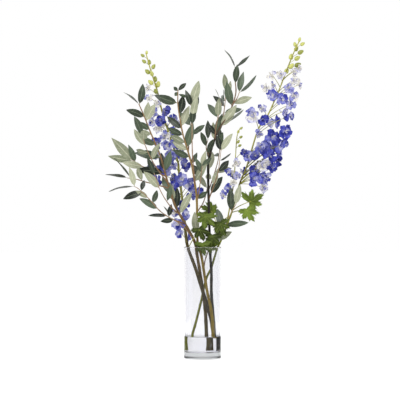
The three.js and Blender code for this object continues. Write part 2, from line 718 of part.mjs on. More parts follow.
/** All the leaves of an olive branch: on its stem, on its twigs and on its sprays. */
function placeLeaves(owner, line, { stem, twigs, sprays }, seed) {
  const draw = drawer(seed);
  const leavesOn = (twigLine, leaves) => {
    const highest = 1 - OLIVE_LEAF.sunk / twigLine.getLength();
    for (const [height, heading, length, roll] of leaves) {
      const root = twigLine.getPoint(Math.min(highest, reaches(twigLine, height)));
      placeOliveLeaf(owner, root, heading, length, roll, draw);
    }
  };
  leavesOn(line, stem);
  for (const { route, leaves } of twigs) leavesOn(lineOf(route), leaves);
  for (const spray of sprays) placeSpray(owner, spray, draw);
}

// ---------- Putting it together ----------

const stemLines = Object.fromEntries(
  Object.entries(STEMS).map(([name, { route }]) => [name, lineOf(route)]),
);
const olives = { olive_left: OLIVE_LEFT, olive_centre: OLIVE_CENTRE, olive_right: OLIVE_RIGHT };

// Each spike's line, its table and the node of the stem that it grows on.
const spikes = {
  delphinium_left: [stemLines.delphinium_left, STEMS.delphinium_left, "delphinium_left_stem"],
  delphinium_right: [stemLines.delphinium_right, STEMS.delphinium_right, "delphinium_right_stem"],
  delphinium_right_side: [lineOf(SIDE_SPIKE.route), SIDE_SPIKE, "delphinium_right_stem"],
};

keep("vase", vase());
for (const [name, [line, table, foot]] of Object.entries(spikes)) stageRods(name, table, line, foot);
for (const [name, olive] of Object.entries(olives)) {
  const { radii, route } = STEMS[name];
  keep(name, rod(stemLines[name], radii, SIDES.stem, route.length + 1));
  holes.push(rod(stemLines[name], radii, SIDES.stem, route.length + 1, 0, 1, GAP));
  placeWood(name, olive);
}
for (const [name, [line, { spikeFrom, budsFrom }]] of Object.entries(spikes)) {
  layered(FLORETS[name]).forEach((entry, i) =>
    placeFloret(`${name}_spike`, line, entry, FLORET.turn * i, spikeFrom));
  BUDS[name].forEach((entry, i) => placeBud(`${name}_buds`, line, entry, i, budsFrom));
}
for (const [name, leaves] of Object.entries(GREEN_LEAVES))
  for (const leaf of leaves) placeGreenLeaf(`${name}_stem`, stemLines[name], leaf);
Object.entries(olives).forEach(([name, olive], i) =>
  placeLeaves(name, stemLines[name], olive, 11 + i));
keep("water", water(holes));

// The colour of each node.
const LOOKS = {
  vase: COLOURS.glass,
  water: COLOURS.water,
  delphinium_left_stem: COLOURS.darkStem,
  delphinium_left_spike: COLOURS.blue,
  delphinium_left_buds: COLOURS.bud,
  delphinium_right_stem: COLOURS.greenStem,
  delphinium_right_spike: COLOURS.blue,
  delphinium_right_buds: COLOURS.bud,
  delphinium_right_side_spike: COLOURS.paleBlue,
  delphinium_right_side_buds: COLOURS.bud,
  olive_left: COLOURS.olive,
  olive_centre: COLOURS.olive,
  olive_right: COLOURS.olive,
};
const ROUGHNESS = 0.65;
const CLEAR = { transparent: true, opacity: 0.3, roughness: 0.05 };

const arrangement = new THREE.Group();
for (const [name, color] of Object.entries(LOOKS)) {
  const body = bodyOf(name).getMesh();
  const geometry = new THREE.BufferGeometry()
    .setAttribute("position", new THREE.BufferAttribute(body.vertProperties, 3))
    .setIndex(new THREE.BufferAttribute(body.triVerts, 1));
  const material = new THREE.MeshStandardMaterial({
    color,
    metalness: 0,
    roughness: ROUGHNESS,
    ...(name === "vase" || name === "water" ? CLEAR : {}),
  });
  const mesh = new THREE.Mesh(geometry, material);
  mesh.name = name;
  arrangement.add(mesh);
}

export default arrangement;
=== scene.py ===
"""Dresses a packed vase of delphiniums: its glass, water, stems, leaves, florets and buds.

Lengths in the tables are millimetres in the part's own frame: +X to the right, -Y to the front,
+Z up, from the centre of the vase's underside. A finished mesh is in metres.
"""

import logging
import math
from dataclasses import dataclass, field
from enum import Enum

import bmesh
import bpy
import numpy as np
from mathutils.kdtree import KDTree
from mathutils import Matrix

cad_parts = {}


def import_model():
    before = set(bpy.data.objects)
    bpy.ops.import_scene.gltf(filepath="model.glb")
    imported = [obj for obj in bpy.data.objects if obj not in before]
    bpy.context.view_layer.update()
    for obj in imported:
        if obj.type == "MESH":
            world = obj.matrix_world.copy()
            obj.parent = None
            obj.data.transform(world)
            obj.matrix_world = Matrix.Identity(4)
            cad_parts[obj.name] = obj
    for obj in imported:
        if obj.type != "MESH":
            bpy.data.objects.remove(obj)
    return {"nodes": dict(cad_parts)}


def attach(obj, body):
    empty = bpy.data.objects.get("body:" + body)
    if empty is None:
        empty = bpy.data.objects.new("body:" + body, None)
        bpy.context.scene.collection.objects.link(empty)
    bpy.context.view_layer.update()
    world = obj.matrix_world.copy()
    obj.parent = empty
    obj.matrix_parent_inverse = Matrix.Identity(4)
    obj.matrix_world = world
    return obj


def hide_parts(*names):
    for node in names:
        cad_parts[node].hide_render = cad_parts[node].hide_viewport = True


Array = np.ndarray
Route = tuple[tuple[float, float, float], ...]
Looks = dict[str, bpy.types.Material]
LOG = logging.getLogger("vase of delphiniums")

MM = 0.001
TAU = 2 * math.pi
FRONT = np.array([0.0, -1.0, 0.0])
BACK = np.array([0.0, 1.0, 0.0])
UPWARD = np.array([0.0, 0.0, 1.0])
WELD = 1e-7  # metres between points that are made one
SHARP = 55.0  # degrees between faces from which their edge stays sharp

# ---------- Sizes ----------

VASE_RADIUS, VASE_HEIGHT, VASE_WALL, VASE_FLOOR = 50.0, 300.0, 3.5, 16.0
WATER_LEVEL = 58.0
LEANS = (0, -18, 18, -36, 36, -54, 54)  # degrees of depth a leaf may be bent by

# What a flower's seed is raised by for the draws of its stalks, its buds and its side spike.
STALK_SEED, BUD_SEED, SIDE_SEED = 5, 9, 50


class Side(Enum):
    """The side of an olive leaf that faces the front, as degrees of roll about its midrib."""

    UPPER = 0.0
    UNDER = 180.0
    EDGE = 72.0


class Tone(Enum):
    """How deep a floret's blue is, from white to the deepest."""

    PALE = 0.08
    LILAC = 0.42
    BLUE = 0.76
    DEEP = 1.0


UPPER, UNDER, EDGE = Side.UPPER, Side.UNDER, Side.EDGE
TONE_LETTERS = {tone.name[0]: tone for tone in Tone}


@dataclass(frozen=True)
class Twig:
    """A side twig: its route, and its leaves as (root height, heading, length, side)."""

    route: Route
    leaves: tuple


@dataclass(frozen=True)
class OliveTable:
    """An olive branch: the leaves on its stem, its twigs, and the routes of its deep sprays."""

    stem: tuple
    twigs: tuple[Twig, ...]
    sprays: tuple[Route, ...]


# ---------- Routes and places ----------

OLIVE_LEFT = OliveTable(
    stem=(
        (684, 134, 54, EDGE), (684, 79, 59, UPPER), (649, 159, 53, UPPER), (640, 82, 50, UNDER),
        (638, 62, 52, UNDER), (614, 146, 37, UPPER), (602, 168, 37, UNDER), (574, 156, 56, UPPER),
        (539, 168, 74, UPPER), (504, 101, 52, UPPER), (499, 176, 78, UPPER),
        (439, 117, 63, UPPER), (423, 100, 50, UNDER), (402, 88, 59, UPPER), (388, 62, 66, UNDER),
        (501, 76, 59, UPPER),
    ),
    twigs=(
        Twig(
            (
                (-46, -16, 361), (-83, -32, 376), (-114, -44, 397), (-140, -52, 426),
                (-167, -57, 453), (-183, -58, 463),
            ),
            (
                (463, 182, 69, EDGE), (462, 106, 54, UNDER), (450, 76, 31, UPPER),
                (447, 197, 56, UPPER), (431, 149, 40, UNDER), (418, 72, 37, UPPER),
                (402, 150, 56, UPPER),
            ),
        ),
        Twig(
            (
                (-90, -27, 458), (-144, -38, 472), (-179, -44, 482), (-202, -46, 485),
            ),
            (
                (485, 166, 62, EDGE), (484, 123, 71, EDGE), (477, 108, 40, UNDER),
            ),
        ),
        Twig(
            (
                (-99, -28, 490), (-141, -18, 507), (-168, -10, 520), (-190, -6, 534),
            ),
            (
                (533, 134, 84, UNDER), (533, 170, 69, UNDER), (528, 112, 51, UPPER),
                (515, 167, 60, UNDER),
            ),
        ),
        Twig(
            (
                (-31, -10, 329), (-50, -28, 354), (-82, -42, 376), (-100, -48, 385),
            ),
            (
                (383, 174, 50, EDGE), (373, 187, 36, UPPER), (379, 112, 36, EDGE),
                (381, 77, 38, UPPER),
            ),
        ),
    ),
    sprays=(
        (
            (-60, -18, 385), (-88, -58, 412), (-112, -92, 452), (-128, -112, 498),
        ),
        (
            (-92, -27, 470), (-128, -58, 520), (-150, -84, 566), (-160, -98, 600),
        ),
    ),
)

OLIVE_CENTRE = OliveTable(
    stem=(
        (720, 137, 16, UPPER), (720, 46, 33, UPPER), (716, 230, 14, UPPER), (711, 340, 36, EDGE),
        (686, 161, 67, UPPER), (654, 80, 56, UPPER), (622, 69, 63, UNDER), (617, 140, 56, UPPER),
        (600, 156, 47, UPPER), (579, 153, 48, UNDER), (566, 77, 69, UPPER), (560, 150, 47, UNDER),
        (541, 157, 49, UPPER), (523, 65, 36, UPPER), (474, 56, 60, UNDER), (429, 34, 36, UPPER),
        (332, 96, 66, UNDER),
    ),
    twigs=(
        Twig(
            (
                (-19, -8, 458), (-26, -36, 533), (-28, -42, 587), (-28, -44, 637),
                (-31, -44, 683),
            ),
            (
                (683, 71, 68, UNDER), (677, 111, 46, UPPER), (637, 79, 71, UNDER),
                (627, 86, 46, UPPER), (603, 35, 42, UPPER), (560, 69, 43, UNDER),
            ),
        ),
        Twig(
            (
                (-15, -4, 418), (-7, -10, 467), (-1, -14, 518),
            ),
            (
                (518, 77, 46, UNDER), (513, 45, 38, UPPER), (485, 119, 43, UPPER),
                (500, 112, 44, UPPER),
            ),
        ),
        Twig(
            (
                (4, 4, 232), (6, 0, 259), (18, -8, 293), (38, -24, 324), (60, -34, 356),
                (76, -36, 391), (90, -36, 415),
            ),
            (
                (415, 80, 58, UNDER), (394, 93, 67, UPPER), (359, 5, 62, UPPER),
                (322, 24, 46, UNDER), (346, 106, 62, UPPER), (329, 78, 46, UPPER),
            ),
        ),
    ),
    sprays=(
        (
            (-15, -3, 392), (4, 32, 424), (16, 70, 476), (20, 98, 540),
        ),
        (
            (-38, -21, 553), (-36, 18, 596), (-30, 52, 642), (-26, 74, 684),
        ),
    ),
)

OLIVE_RIGHT = OliveTable(
    stem=(
        (784, 111, 57, EDGE), (784, 35, 53, EDGE), (739, 85, 52, UPPER), (678, 101, 74, UPPER),
        (685, 17, 55, UNDER), (631, 29, 70, EDGE), (623, 54, 77, UNDER), (602, 129, 39, UPPER),
        (588, 94, 49, UNDER), (593, 242, 44, UPPER), (604, 72, 58, UPPER),
    ),
    twigs=(
        Twig(
            (
                (19, 13, 542), (10, 16, 567), (15, 18, 591),
            ),
            (
                (591, 91, 56, UPPER), (570, 109, 43, UPPER),
            ),
        ),
        Twig(
            (
                (79, -10, 679), (93, -20, 700), (99, -24, 716),
            ),
            (
                (715, 79, 59, UPPER), (715, 39, 66, EDGE),
            ),
        ),
        Twig(
            (
                (34, 5, 591), (36, -14, 620), (42, -22, 649), (52, -26, 686),
            ),
            (
                (686, 107, 45, EDGE), (684, 73, 39, EDGE), (649, 87, 51, UNDER),
                (646, 124, 52, UPPER), (633, 133, 59, EDGE),
            ),
        ),
        Twig(
            (
                (16.6, 8, 426), (31, -8, 466), (42, -14, 501), (46, -16, 531), (50, -16, 561),
            ),
            (
                (561, 55, 58, UNDER), (559, 104, 43, UPPER), (531, 29, 37, EDGE),
                (501, 47, 46, UPPER), (464, 78, 41, UNDER), (442, 56, 59, UPPER),
            ),
        ),
    ),
    sprays=(
        (
            (16, 10, 450), (30, 48, 490), (44, 84, 540), (50, 108, 590),
        ),
        (
            (46, 0, 620), (56, 34, 652), (62, 62, 694), (64, 78, 730),
        ),
    ),
)

# The points that each stem passes through, from its cut end to its tip.
ROUTES = {
    "delphinium_left": (
        (36, 15, 19), (31, 14, 58), (24, 10, 102), (7, 4, 159), (-4, 0, 195), (-20, -4, 245),
        (-39.5, -7, 299), (-46, 0, 340), (-50, 9, 385), (-64, 26, 502), (-69, 30, 537),
        (-107, 38, 657), (-124, 40, 726), (-142, 38, 783), (-154, 34, 826),
    ),
    "delphinium_right": (
        (-28, 23, 19), (-28, 24, 58), (-19, 25, 91), (-4, 26, 150), (9.5, 22, 210), (24, 16, 242),
        (34, 9, 275), (42, 3, 300), (52, -2, 322), (79, -8, 394), (101, -12, 472),
        (120, -14, 519), (149, -18, 614), (173, -20, 649), (203, -24, 715), (223, -28, 767),
        (245, -30, 822), (259, -32, 851),
    ),
    "olive_left": (
        (11, 37, 19), (11, 35, 58), (8, 23, 124), (3, 16, 164), (-3, 9, 207), (-15, -3, 280),
        (-22, -7, 315), (-46, -16, 361), (-73, -22, 409), (-87, -26, 453), (-101, -28, 501),
        (-114, -28, 547), (-141, -26, 611), (-157, -22, 652), (-171, -20, 684),
    ),
    "olive_centre": (
        (28, -8, 54), (27.5, -8, 80), (24, -7, 124), (11, -2, 188), (-3, 5, 275), (-13, 4, 304),
        (-15, -4, 418), (-20, -10, 466), (-28, -16, 515), (-40, -22, 560), (-52, -26, 600),
        (-60, -28, 641), (-66, -28, 681), (-66, -28, 721),
    ),
    "olive_right": (
        (33, 2, 19), (32, 2, 70), (28, 2, 124), (24, 0, 178), (24, 0, 234), (21, 0, 280),
        (17, 8, 412), (15, 12, 521), (19, 13, 542), (28, 8, 575), (39, 2, 607), (53, -4, 631),
        (69, -8, 655), (82, -10, 685), (90, -10, 717), (88, -6, 750), (88, 0, 785),
    ),
    "side": (
        (63, -5, 350), (77, 0, 426), (85, 4, 480), (89, 4, 538), (93, 2, 596), (101, -1, 620),
    ),
}

# Each floret's (x, depth from the spike's axis, height, radius).
FLORETS = {
    "delphinium_left": (
        (-148, -8, 730, 13), (-145, -4, 704, 15), (-121, -12, 689, 13), (-132, -10, 665, 16),
        (-137, 2, 640, 16), (-102, -6, 665, 17), (-113, -18, 643, 18), (-80, -8, 648, 17),
        (-61, -2, 635, 13), (-115, -16, 621, 17), (-102, -20, 600, 17), (-121, -10, 581, 18),
        (-94, -22, 575, 21), (-69, -6, 578, 16), (-121, -14, 548, 16), (-85, -20, 548, 18),
        (-49, -8, 521, 20), (-132, -10, 513, 18), (-99, -22, 507, 20), (-123, -12, 483, 17),
        (-58, -14, 483, 20), (-80, -16, 464, 17), (-34, -12, 469, 17), (-31, -10, 440, 16),
        (-12, 8, 450, 16), (-50, -14, 412, 17), (-72, -10, 393, 16), (-45, -16, 385, 15),
        (-64, -12, 361, 17), (-61, -8, 337, 17), (-40, 12, 326, 12), (-92, 24, 612, 21),
        (-76, 25, 552, 21), (-60, 24, 474, 20), (-60, -2, 565, 14), (-54, -6, 545, 14),
        (-78, -10, 520, 14), (-76, -4, 484, 15), (-30, -8, 458, 14),
    ),
    "delphinium_right": (
        (186, -2, 760, 13), (210, -10, 760, 15), (243, -8, 768, 15), (259, -2, 779, 12),
        (245, -12, 746, 15), (259, 4, 735, 12), (229, -14, 727, 16), (245, -10, 705, 17),
        (172, -8, 727, 15), (191, 2, 735, 12), (189, -12, 708, 18), (213, -14, 694, 17),
        (235, -8, 681, 17), (136, -8, 654, 22), (164, -14, 640, 17), (161, 2, 673, 15),
        (216, -6, 662, 18), (235, -2, 651, 16), (221, -14, 610, 22), (186, -18, 597, 22),
        (151, -4, 605, 13), (205, -16, 572, 21), (156, -18, 567, 22), (180, -22, 545, 20),
        (123, -8, 545, 17), (202, -8, 534, 18), (161, -22, 518, 21), (186, -12, 513, 18),
        (137, -16, 483, 22), (170, -10, 483, 18), (164, -4, 459, 15), (196, 18, 640, 21),
        (190, 20, 570, 22), (156, 20, 516, 22), (220, 2, 578, 15), (183, 6, 568, 17),
        (203, -10, 552, 16), (140, -10, 545, 16), (180, -8, 526, 16), (146, -6, 516, 15),
        (133, -10, 503, 17), (158, -14, 490, 16),
    ),
    "delphinium_right_side": (
        (110, -4, 556, 12), (91, -8, 526, 16), (72, -4, 502, 12), (94, -10, 491, 12),
        (110, -2, 505, 15), (84, -9, 472, 12), (72, -8, 459, 13), (57, -4, 440, 13),
        (82, 12, 496, 13),
    ),
}

# Each bud's (x, height, radius).
BUDS = {
    "delphinium_left": (
        (-163, 819, 4.2), (-152, 828, 3.8), (-159, 803, 4.7), (-145, 802, 5.2), (-133, 789, 5.2),
        (-150, 776, 5.9), (-138, 770, 5.2), (-129, 756, 5.9), (-141, 746, 5.9), (-121, 742, 6.4),
        (-127, 722, 5.4),
    ),
    "delphinium_right": (
        (260, 856, 4.2), (248, 844, 4.7), (268, 844, 4.7), (252, 832, 5.4), (263, 822, 5.9),
        (238, 811, 6.1), (254, 806, 5.9), (256, 789, 6.4), (238, 785, 6.1), (226, 773, 6.1),
    ),
    "delphinium_right_side": (
        (105, 620, 3.1), (97, 611, 3.5), (104, 596, 3.5), (97, 584, 3.8), (101, 573, 3.5),
    ),
}

# Each green leaf's (height of its stalk's root, middle, heading, radius).
GREEN_LEAVES = {
    "delphinium_left": (
        (296, (-8, -34, 346), -68, 36),
    ),
    "delphinium_right": (
        (398, (130, -24, 422), 30, 42),
        (392, (120, -38, 398), -66, 38),
        (322, (24, 18, 396), 105, 38),
        (285, (26, -30, 328), -96, 36),
        (292, (0, -26, 306), -84, 34),
        (350, (22, -18, 306), -100, 27),
        (384, (48, -52, 362), -72, 38),
        (318, (8, -50, 382), -98, 38),
    ),
}

# One letter for each floret: Pale, Lilac, Blue or Deep.
FLORET_TONES = {
    "delphinium_left": "PPPLLBBBLPLBBBLBBBBDBDBBDDLBBBDBBBLLBBB",
    "delphinium_right": "PPPPPPLLPPBBBLDLLBDDLBBDBDLDDBLBDDBLBDBLDB",
    "delphinium_right_side": "DPBLBPBLL",
}


# ---------- Arithmetic on whole arrays ----------


def unit(vectors: Array) -> Array:
    """The vectors at length one."""
    return vectors / np.maximum(np.linalg.norm(vectors, axis=-1, keepdims=True), 1e-12)


def ease(values: Array, low: float, high: float) -> Array:
    """Values from low to high, turned into 0 to 1 with soft ends."""
    share = np.clip((values - low) / (high - low), 0, 1)
    return share * share * (3 - 2 * share)


def square_to(direction: Array) -> tuple[Array, Array]:
    """Finds two directions square to each direction and to each other.

    Args:
        direction: unit vectors, (..., 3).

    Returns:
        The level one, which is square to the depth unless the direction is steep in it, and the
        one square to both.
    """
    limit = 0.8
    steep = np.abs(direction[..., 1:2]) > limit
    side = unit(np.cross(np.where(steep, UPWARD, BACK), direction))
    return side, np.cross(direction, side)


def turned(vector: Array, axis: Array, degrees: float) -> Array:
    """A vector square to an axis, turned about it."""
    angle = math.radians(degrees)
    return vector * math.cos(angle) + np.cross(axis, vector) * math.sin(angle)


def heading_of(heading: float, lean: float) -> Array:
    """Turns a heading in the front view into a direction.

    Args:
        heading: degrees from +X towards +Z.
        lean: degrees away from the front view, positive to the back.

    Returns:
        The unit direction (cos h * cos l, sin l, sin h * cos l).
    """
    turn, depth = math.radians(heading), math.radians(lean)
    return np.array(
        [math.cos(turn) * math.cos(depth), math.sin(depth), math.sin(turn) * math.cos(depth)]
    )


def facing(direction: Array, roll: float) -> Array:
    """Finds the direction square to a leaf that faces the front most.

    Args:
        direction: the leaf's own direction, of length one.
        roll: degrees that the face is turned about the leaf.

    Returns:
        The unit direction that the leaf's upper face looks in.
    """
    face = FRONT - direction * float(FRONT @ direction)
    end_on = 0.2  # shorter than this, the leaf points at the front or away from it
    if np.linalg.norm(face) < end_on:
        face = UPWARD - direction * direction[2]
    return turned(unit(face), direction, roll)


@dataclass
class Drawer:
    """A repeatable source of numbers from 0 to 1, the same as the part's own rule draws."""

    state: int

    def __call__(self) -> float:
        """Draws the next number.

        Returns:
            A number from 0 to 1.
        """
        step, full = 0x6D2B79F5, 0xFFFFFFFF
        self.state = (self.state + step) & full
        mixed = ((self.state ^ (self.state >> 15)) * (self.state | 1)) & full
        mixed ^= (mixed + (((mixed ^ (mixed >> 7)) * (mixed | 61)) & full)) & full
        return ((mixed ^ (mixed >> 14)) & full) / (full + 1)


@dataclass(frozen=True)
class Line:
    """The smooth line through a route: a Catmull-Rom spline with a knot at each point."""

    route: Route

    def at(self, share: Array) -> Array:
        """Points on the line.

        Between knots b and c, with a before and d after them, the line is the cubic that leaves b
        along (c - a) / 2 and reaches c along (d - b) / 2.

        Args:
            share: how far along, from 0 to 1.

        Returns:
            The points, (..., 3), in millimetres.
        """
        knots = np.asarray(self.route, float)
        padded = np.vstack([2 * knots[0] - knots[1], knots, 2 * knots[-1] - knots[-2]])
        along = np.clip(np.asarray(share, float), 0, 1) * (len(knots) - 1)
        first = np.minimum(along.astype(int), len(knots) - 2)
        w = (along - first)[..., None]
        a, b, c, d = (padded[first + k] for k in range(4))
        leave, arrive = (c - a) / 2, (d - b) / 2
        square = 3 * (c - b) - 2 * leave - arrive
        cube = 2 * (b - c) + leave + arrive
        return b + w * (leave + w * (square + w * cube))

    def along(self, share: Array) -> Array:
        """The directions of the line."""
        share = np.asarray(share, float)
        return unit(self.at(share + 1e-4) - self.at(share - 1e-4))

    def length(self) -> float:
        """The line's length, as the sum of 200 short steps."""
        return float(np.linalg.norm(np.diff(self.at(np.linspace(0, 1, 201)), axis=0), axis=1).sum())

    def reaches(self, height: Array) -> Array:
        """Finds where this rising line reaches each height, by halving its length 40 times.

        Args:
            height: heights in millimetres.

        Returns:
            The share of the line at each height, from 0 to 1.
        """
        height = np.asarray(height, float)
        low, high = np.zeros_like(height), np.ones_like(height)
        for _ in range(40):
            middle = (low + high) / 2
            under = self.at(middle)[..., 2] < height
            low, high = np.where(under, middle, low), np.where(under, high, middle)
        return low

    def reach(self, height: float) -> float:
        """Where this rising line reaches one height, from 0 to 1."""
        return float(self.reaches(np.array([height]))[0])


# ---------- Surfaces ----------


def tubes(centres: Array, radii: Array, sides: int) -> Array:
    """Round tubes along centre lines, closed at both ends.

    A point is centre + radius * (side * cos(turn) + up * sin(turn)), where side and up are square
    to the line, and the first and last rings are drawn in to the line itself.

    Args:
        centres: (tubes, rows, 3).
        radii: (tubes, rows).
        sides: how many points a ring has.

    Returns:
        Grids of points, (tubes, rows + 2, sides, 3).
    """
    along = unit(np.gradient(centres, axis=1))
    flattest = np.abs(along).mean(axis=1).argmin(axis=-1)
    side = unit(np.cross(np.eye(3)[flattest][:, None], along))
    up = np.cross(along, side)
    turn = (TAU * np.arange(sides) / sides)[:, None]
    ring = side[:, :, None] * np.cos(turn) + up[:, :, None] * np.sin(turn)
    grid = centres[:, :, None] + radii[..., None, None] * ring
    ends = [np.repeat(centres[:, k, None, None], sides, axis=2) for k in (0, -1)]
    return np.concatenate([ends[0], grid, ends[1]], axis=1)


def shell_shares(half: int) -> tuple[Array, Array]:
    """Goes once round a flat shell.

    Args:
        half: how many steps there are across each face.

    Returns:
        How far across each column is, from 1 to -1 and back, and its face, as 1 or -1.
    """
    across = np.linspace(1, -1, half + 1)
    back = across[::-1][1:-1]
    return np.concatenate([across, back]), np.concatenate([np.ones(half + 1), -np.ones(half - 1)])


def shell_map(rows: Array, across: Array) -> Array:
    """The UV map of a flat shell: across it from 0 to 1, and along it from 0 to 1."""
    columns = np.append(across, across[0])
    return np.stack(np.broadcast_arrays((columns[None] + 1) / 2, rows[:, None]), axis=-1)


def curves(start: Array, end: Array, lift: float, rows: int) -> Array:
    """Makes stalks that arch: quadratic curves s (1 - t)^2 + 2 m t (1 - t) + e t^2.

    Args:
        start: (stalks, 3), the points s.
        end: (stalks, 3), the points e.
        lift: how far the middle m is raised, as a share of the length.
        rows: how many points a curve has.

    Returns:
        Centre lines, (stalks, rows, 3).
    """
    middle = (start + end) / 2
    middle[:, 2] += lift * np.linalg.norm(end - start, axis=1)
    t = np.linspace(0, 1, rows)[None, :, None]
    ends = start[:, None] * (1 - t) ** 2 + end[:, None] * t**2
    return ends + 2 * middle[:, None] * t * (1 - t)


@dataclass
class Pile:
    """Grids of points gathered into one mesh, with a UV map, a tone and a finish for each."""

    points: list[Array] = field(default_factory=list)
    faces: list[Array] = field(default_factory=list)
    maps: list[Array] = field(default_factory=list)
    tones: list[Array] = field(default_factory=list)
    finishes: list[Array] = field(default_factory=list)
    count: int = 0

    def add(
        self,
        grid: Array,
        tone: Array | float = 0.5,
        finish: Array | int = 0,
        uv: Array | None = None,
    ) -> None:
        """Adds grids whose columns close on themselves and whose end rows are single points.

        Args:
            grid: points in millimetres, (shapes, rows, columns, 3).
            tone: one number, one for each shape, or one for each point.
            finish: the material's number, for all or for each column.
            uv: (rows, columns + 1, 2), or nothing for the share round and the share along.
        """
        shapes, rows, columns, _ = grid.shape
        first = self.count + np.arange(shapes)[:, None, None] * rows * columns
        r, c = np.arange(rows - 1)[:, None], np.arange(columns)[None]
        after = (c + 1) % columns
        here, above = r * columns, (r + 1) * columns
        quad = np.stack(
            np.broadcast_arrays(here + c, here + after, above + after, above + c), axis=-1
        )
        self.faces.append((first[..., None] + quad).reshape(-1, 4))
        if uv is None:
            shares = np.meshgrid(np.linspace(0, 1, columns + 1), np.linspace(0, 1, rows))
            uv = np.stack(shares, axis=-1)
        corners = np.stack([uv[:-1, :-1], uv[:-1, 1:], uv[1:, 1:], uv[1:, :-1]], axis=2)
        self.maps.append(np.tile(corners.reshape(-1, 2), (shapes, 1)))
        tone = np.asarray(tone, float)
        tone = tone[:, None, None] if tone.ndim == 1 else tone
        self.tones.append(np.broadcast_to(tone, (shapes, rows, columns)).ravel())
        self.finishes.append(np.broadcast_to(finish, (shapes, rows - 1, columns)).ravel())
        self.points.append(grid.reshape(-1, 3))
        self.count += shapes * rows * columns

    def piece(
        self,
        name: str,
        slot: str,
        finishes: list[bpy.types.Material],
        nodes: tuple[str, ...],
    ) -> bpy.types.Object:
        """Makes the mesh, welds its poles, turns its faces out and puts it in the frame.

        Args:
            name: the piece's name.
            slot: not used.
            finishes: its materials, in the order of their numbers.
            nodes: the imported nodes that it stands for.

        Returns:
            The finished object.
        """
        mesh = bpy.data.meshes.new(name)
        points = np.concatenate(self.points) * MM
        mesh.from_pydata(points.tolist(), [], np.concatenate(self.faces).tolist())
        layer = mesh.uv_layers.new(name="surface")
        layer.data.foreach_set("uv", np.concatenate(self.maps).ravel())
        tone = mesh.attributes.new("tone", "FLOAT", "POINT")
        tone.data.foreach_set("value", np.concatenate(self.tones))
        for finish in finishes:
            mesh.materials.append(finish)
        mesh.polygons.foreach_set("material_index", np.concatenate(self.finishes))
        shape = bmesh.new()
        shape.from_mesh(mesh)
        bmesh.ops.remove_doubles(shape, verts=shape.verts, dist=WELD)
        bmesh.ops.recalc_face_normals(shape, faces=shape.faces)
        shape.to_mesh(mesh)
        shape.free()
        mesh.polygons.foreach_set("use_smooth", np.ones(len(mesh.polygons), bool))
        mesh.set_sharp_from_angle(angle=math.radians(SHARP))
        piece = bpy.data.objects.new(name, mesh)
        bpy.context.scene.collection.objects.link(piece)
        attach(piece, "root")
        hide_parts(*nodes)
        LOG.info("%s: %d faces", name, len(mesh.polygons))
        return piece


# ---------- Finishes ----------


def tint(code: int) -> tuple[float, float, float, float]:
    """Turns a colour into the light that it sends back, by the sRGB formula.

    Args:
        code: the colour, as 0xRRGGBB.

    Returns:
        Red, green, blue and a full alpha.
    """
    parts = [(code >> shift & 255) / 255 for shift in (16, 8, 0)]
    light = [p / 12.92 if p <= 0.04045 else ((p + 0.055) / 1.055) ** 2.4 for p in parts]
    return light[0], light[1], light[2], 1.0


class Value:
    """A shader number that can be written in sums."""

    def __init__(self, graph: "Graph", socket: bpy.types.NodeSocket) -> None:
        """Wraps a socket of a graph."""
        self.graph, self.socket = graph, socket

    def __add__(self, other: "Value | float") -> "Value":
        """The sum."""
        return self.graph.sum("ADD", self, other)

    def __sub__(self, other: "Value | float") -> "Value":
        """The difference."""
        return self.graph.sum("SUBTRACT", self, other)

    def __rsub__(self, other: float) -> "Value":
        """The difference from a plain number."""
        return self.graph.sum("SUBTRACT", other, self)

    def __mul__(self, other: "Value | float") -> "Value":
        """The product."""
        return self.graph.sum("MULTIPLY", self, other)

    __radd__, __rmul__ = __add__, __mul__


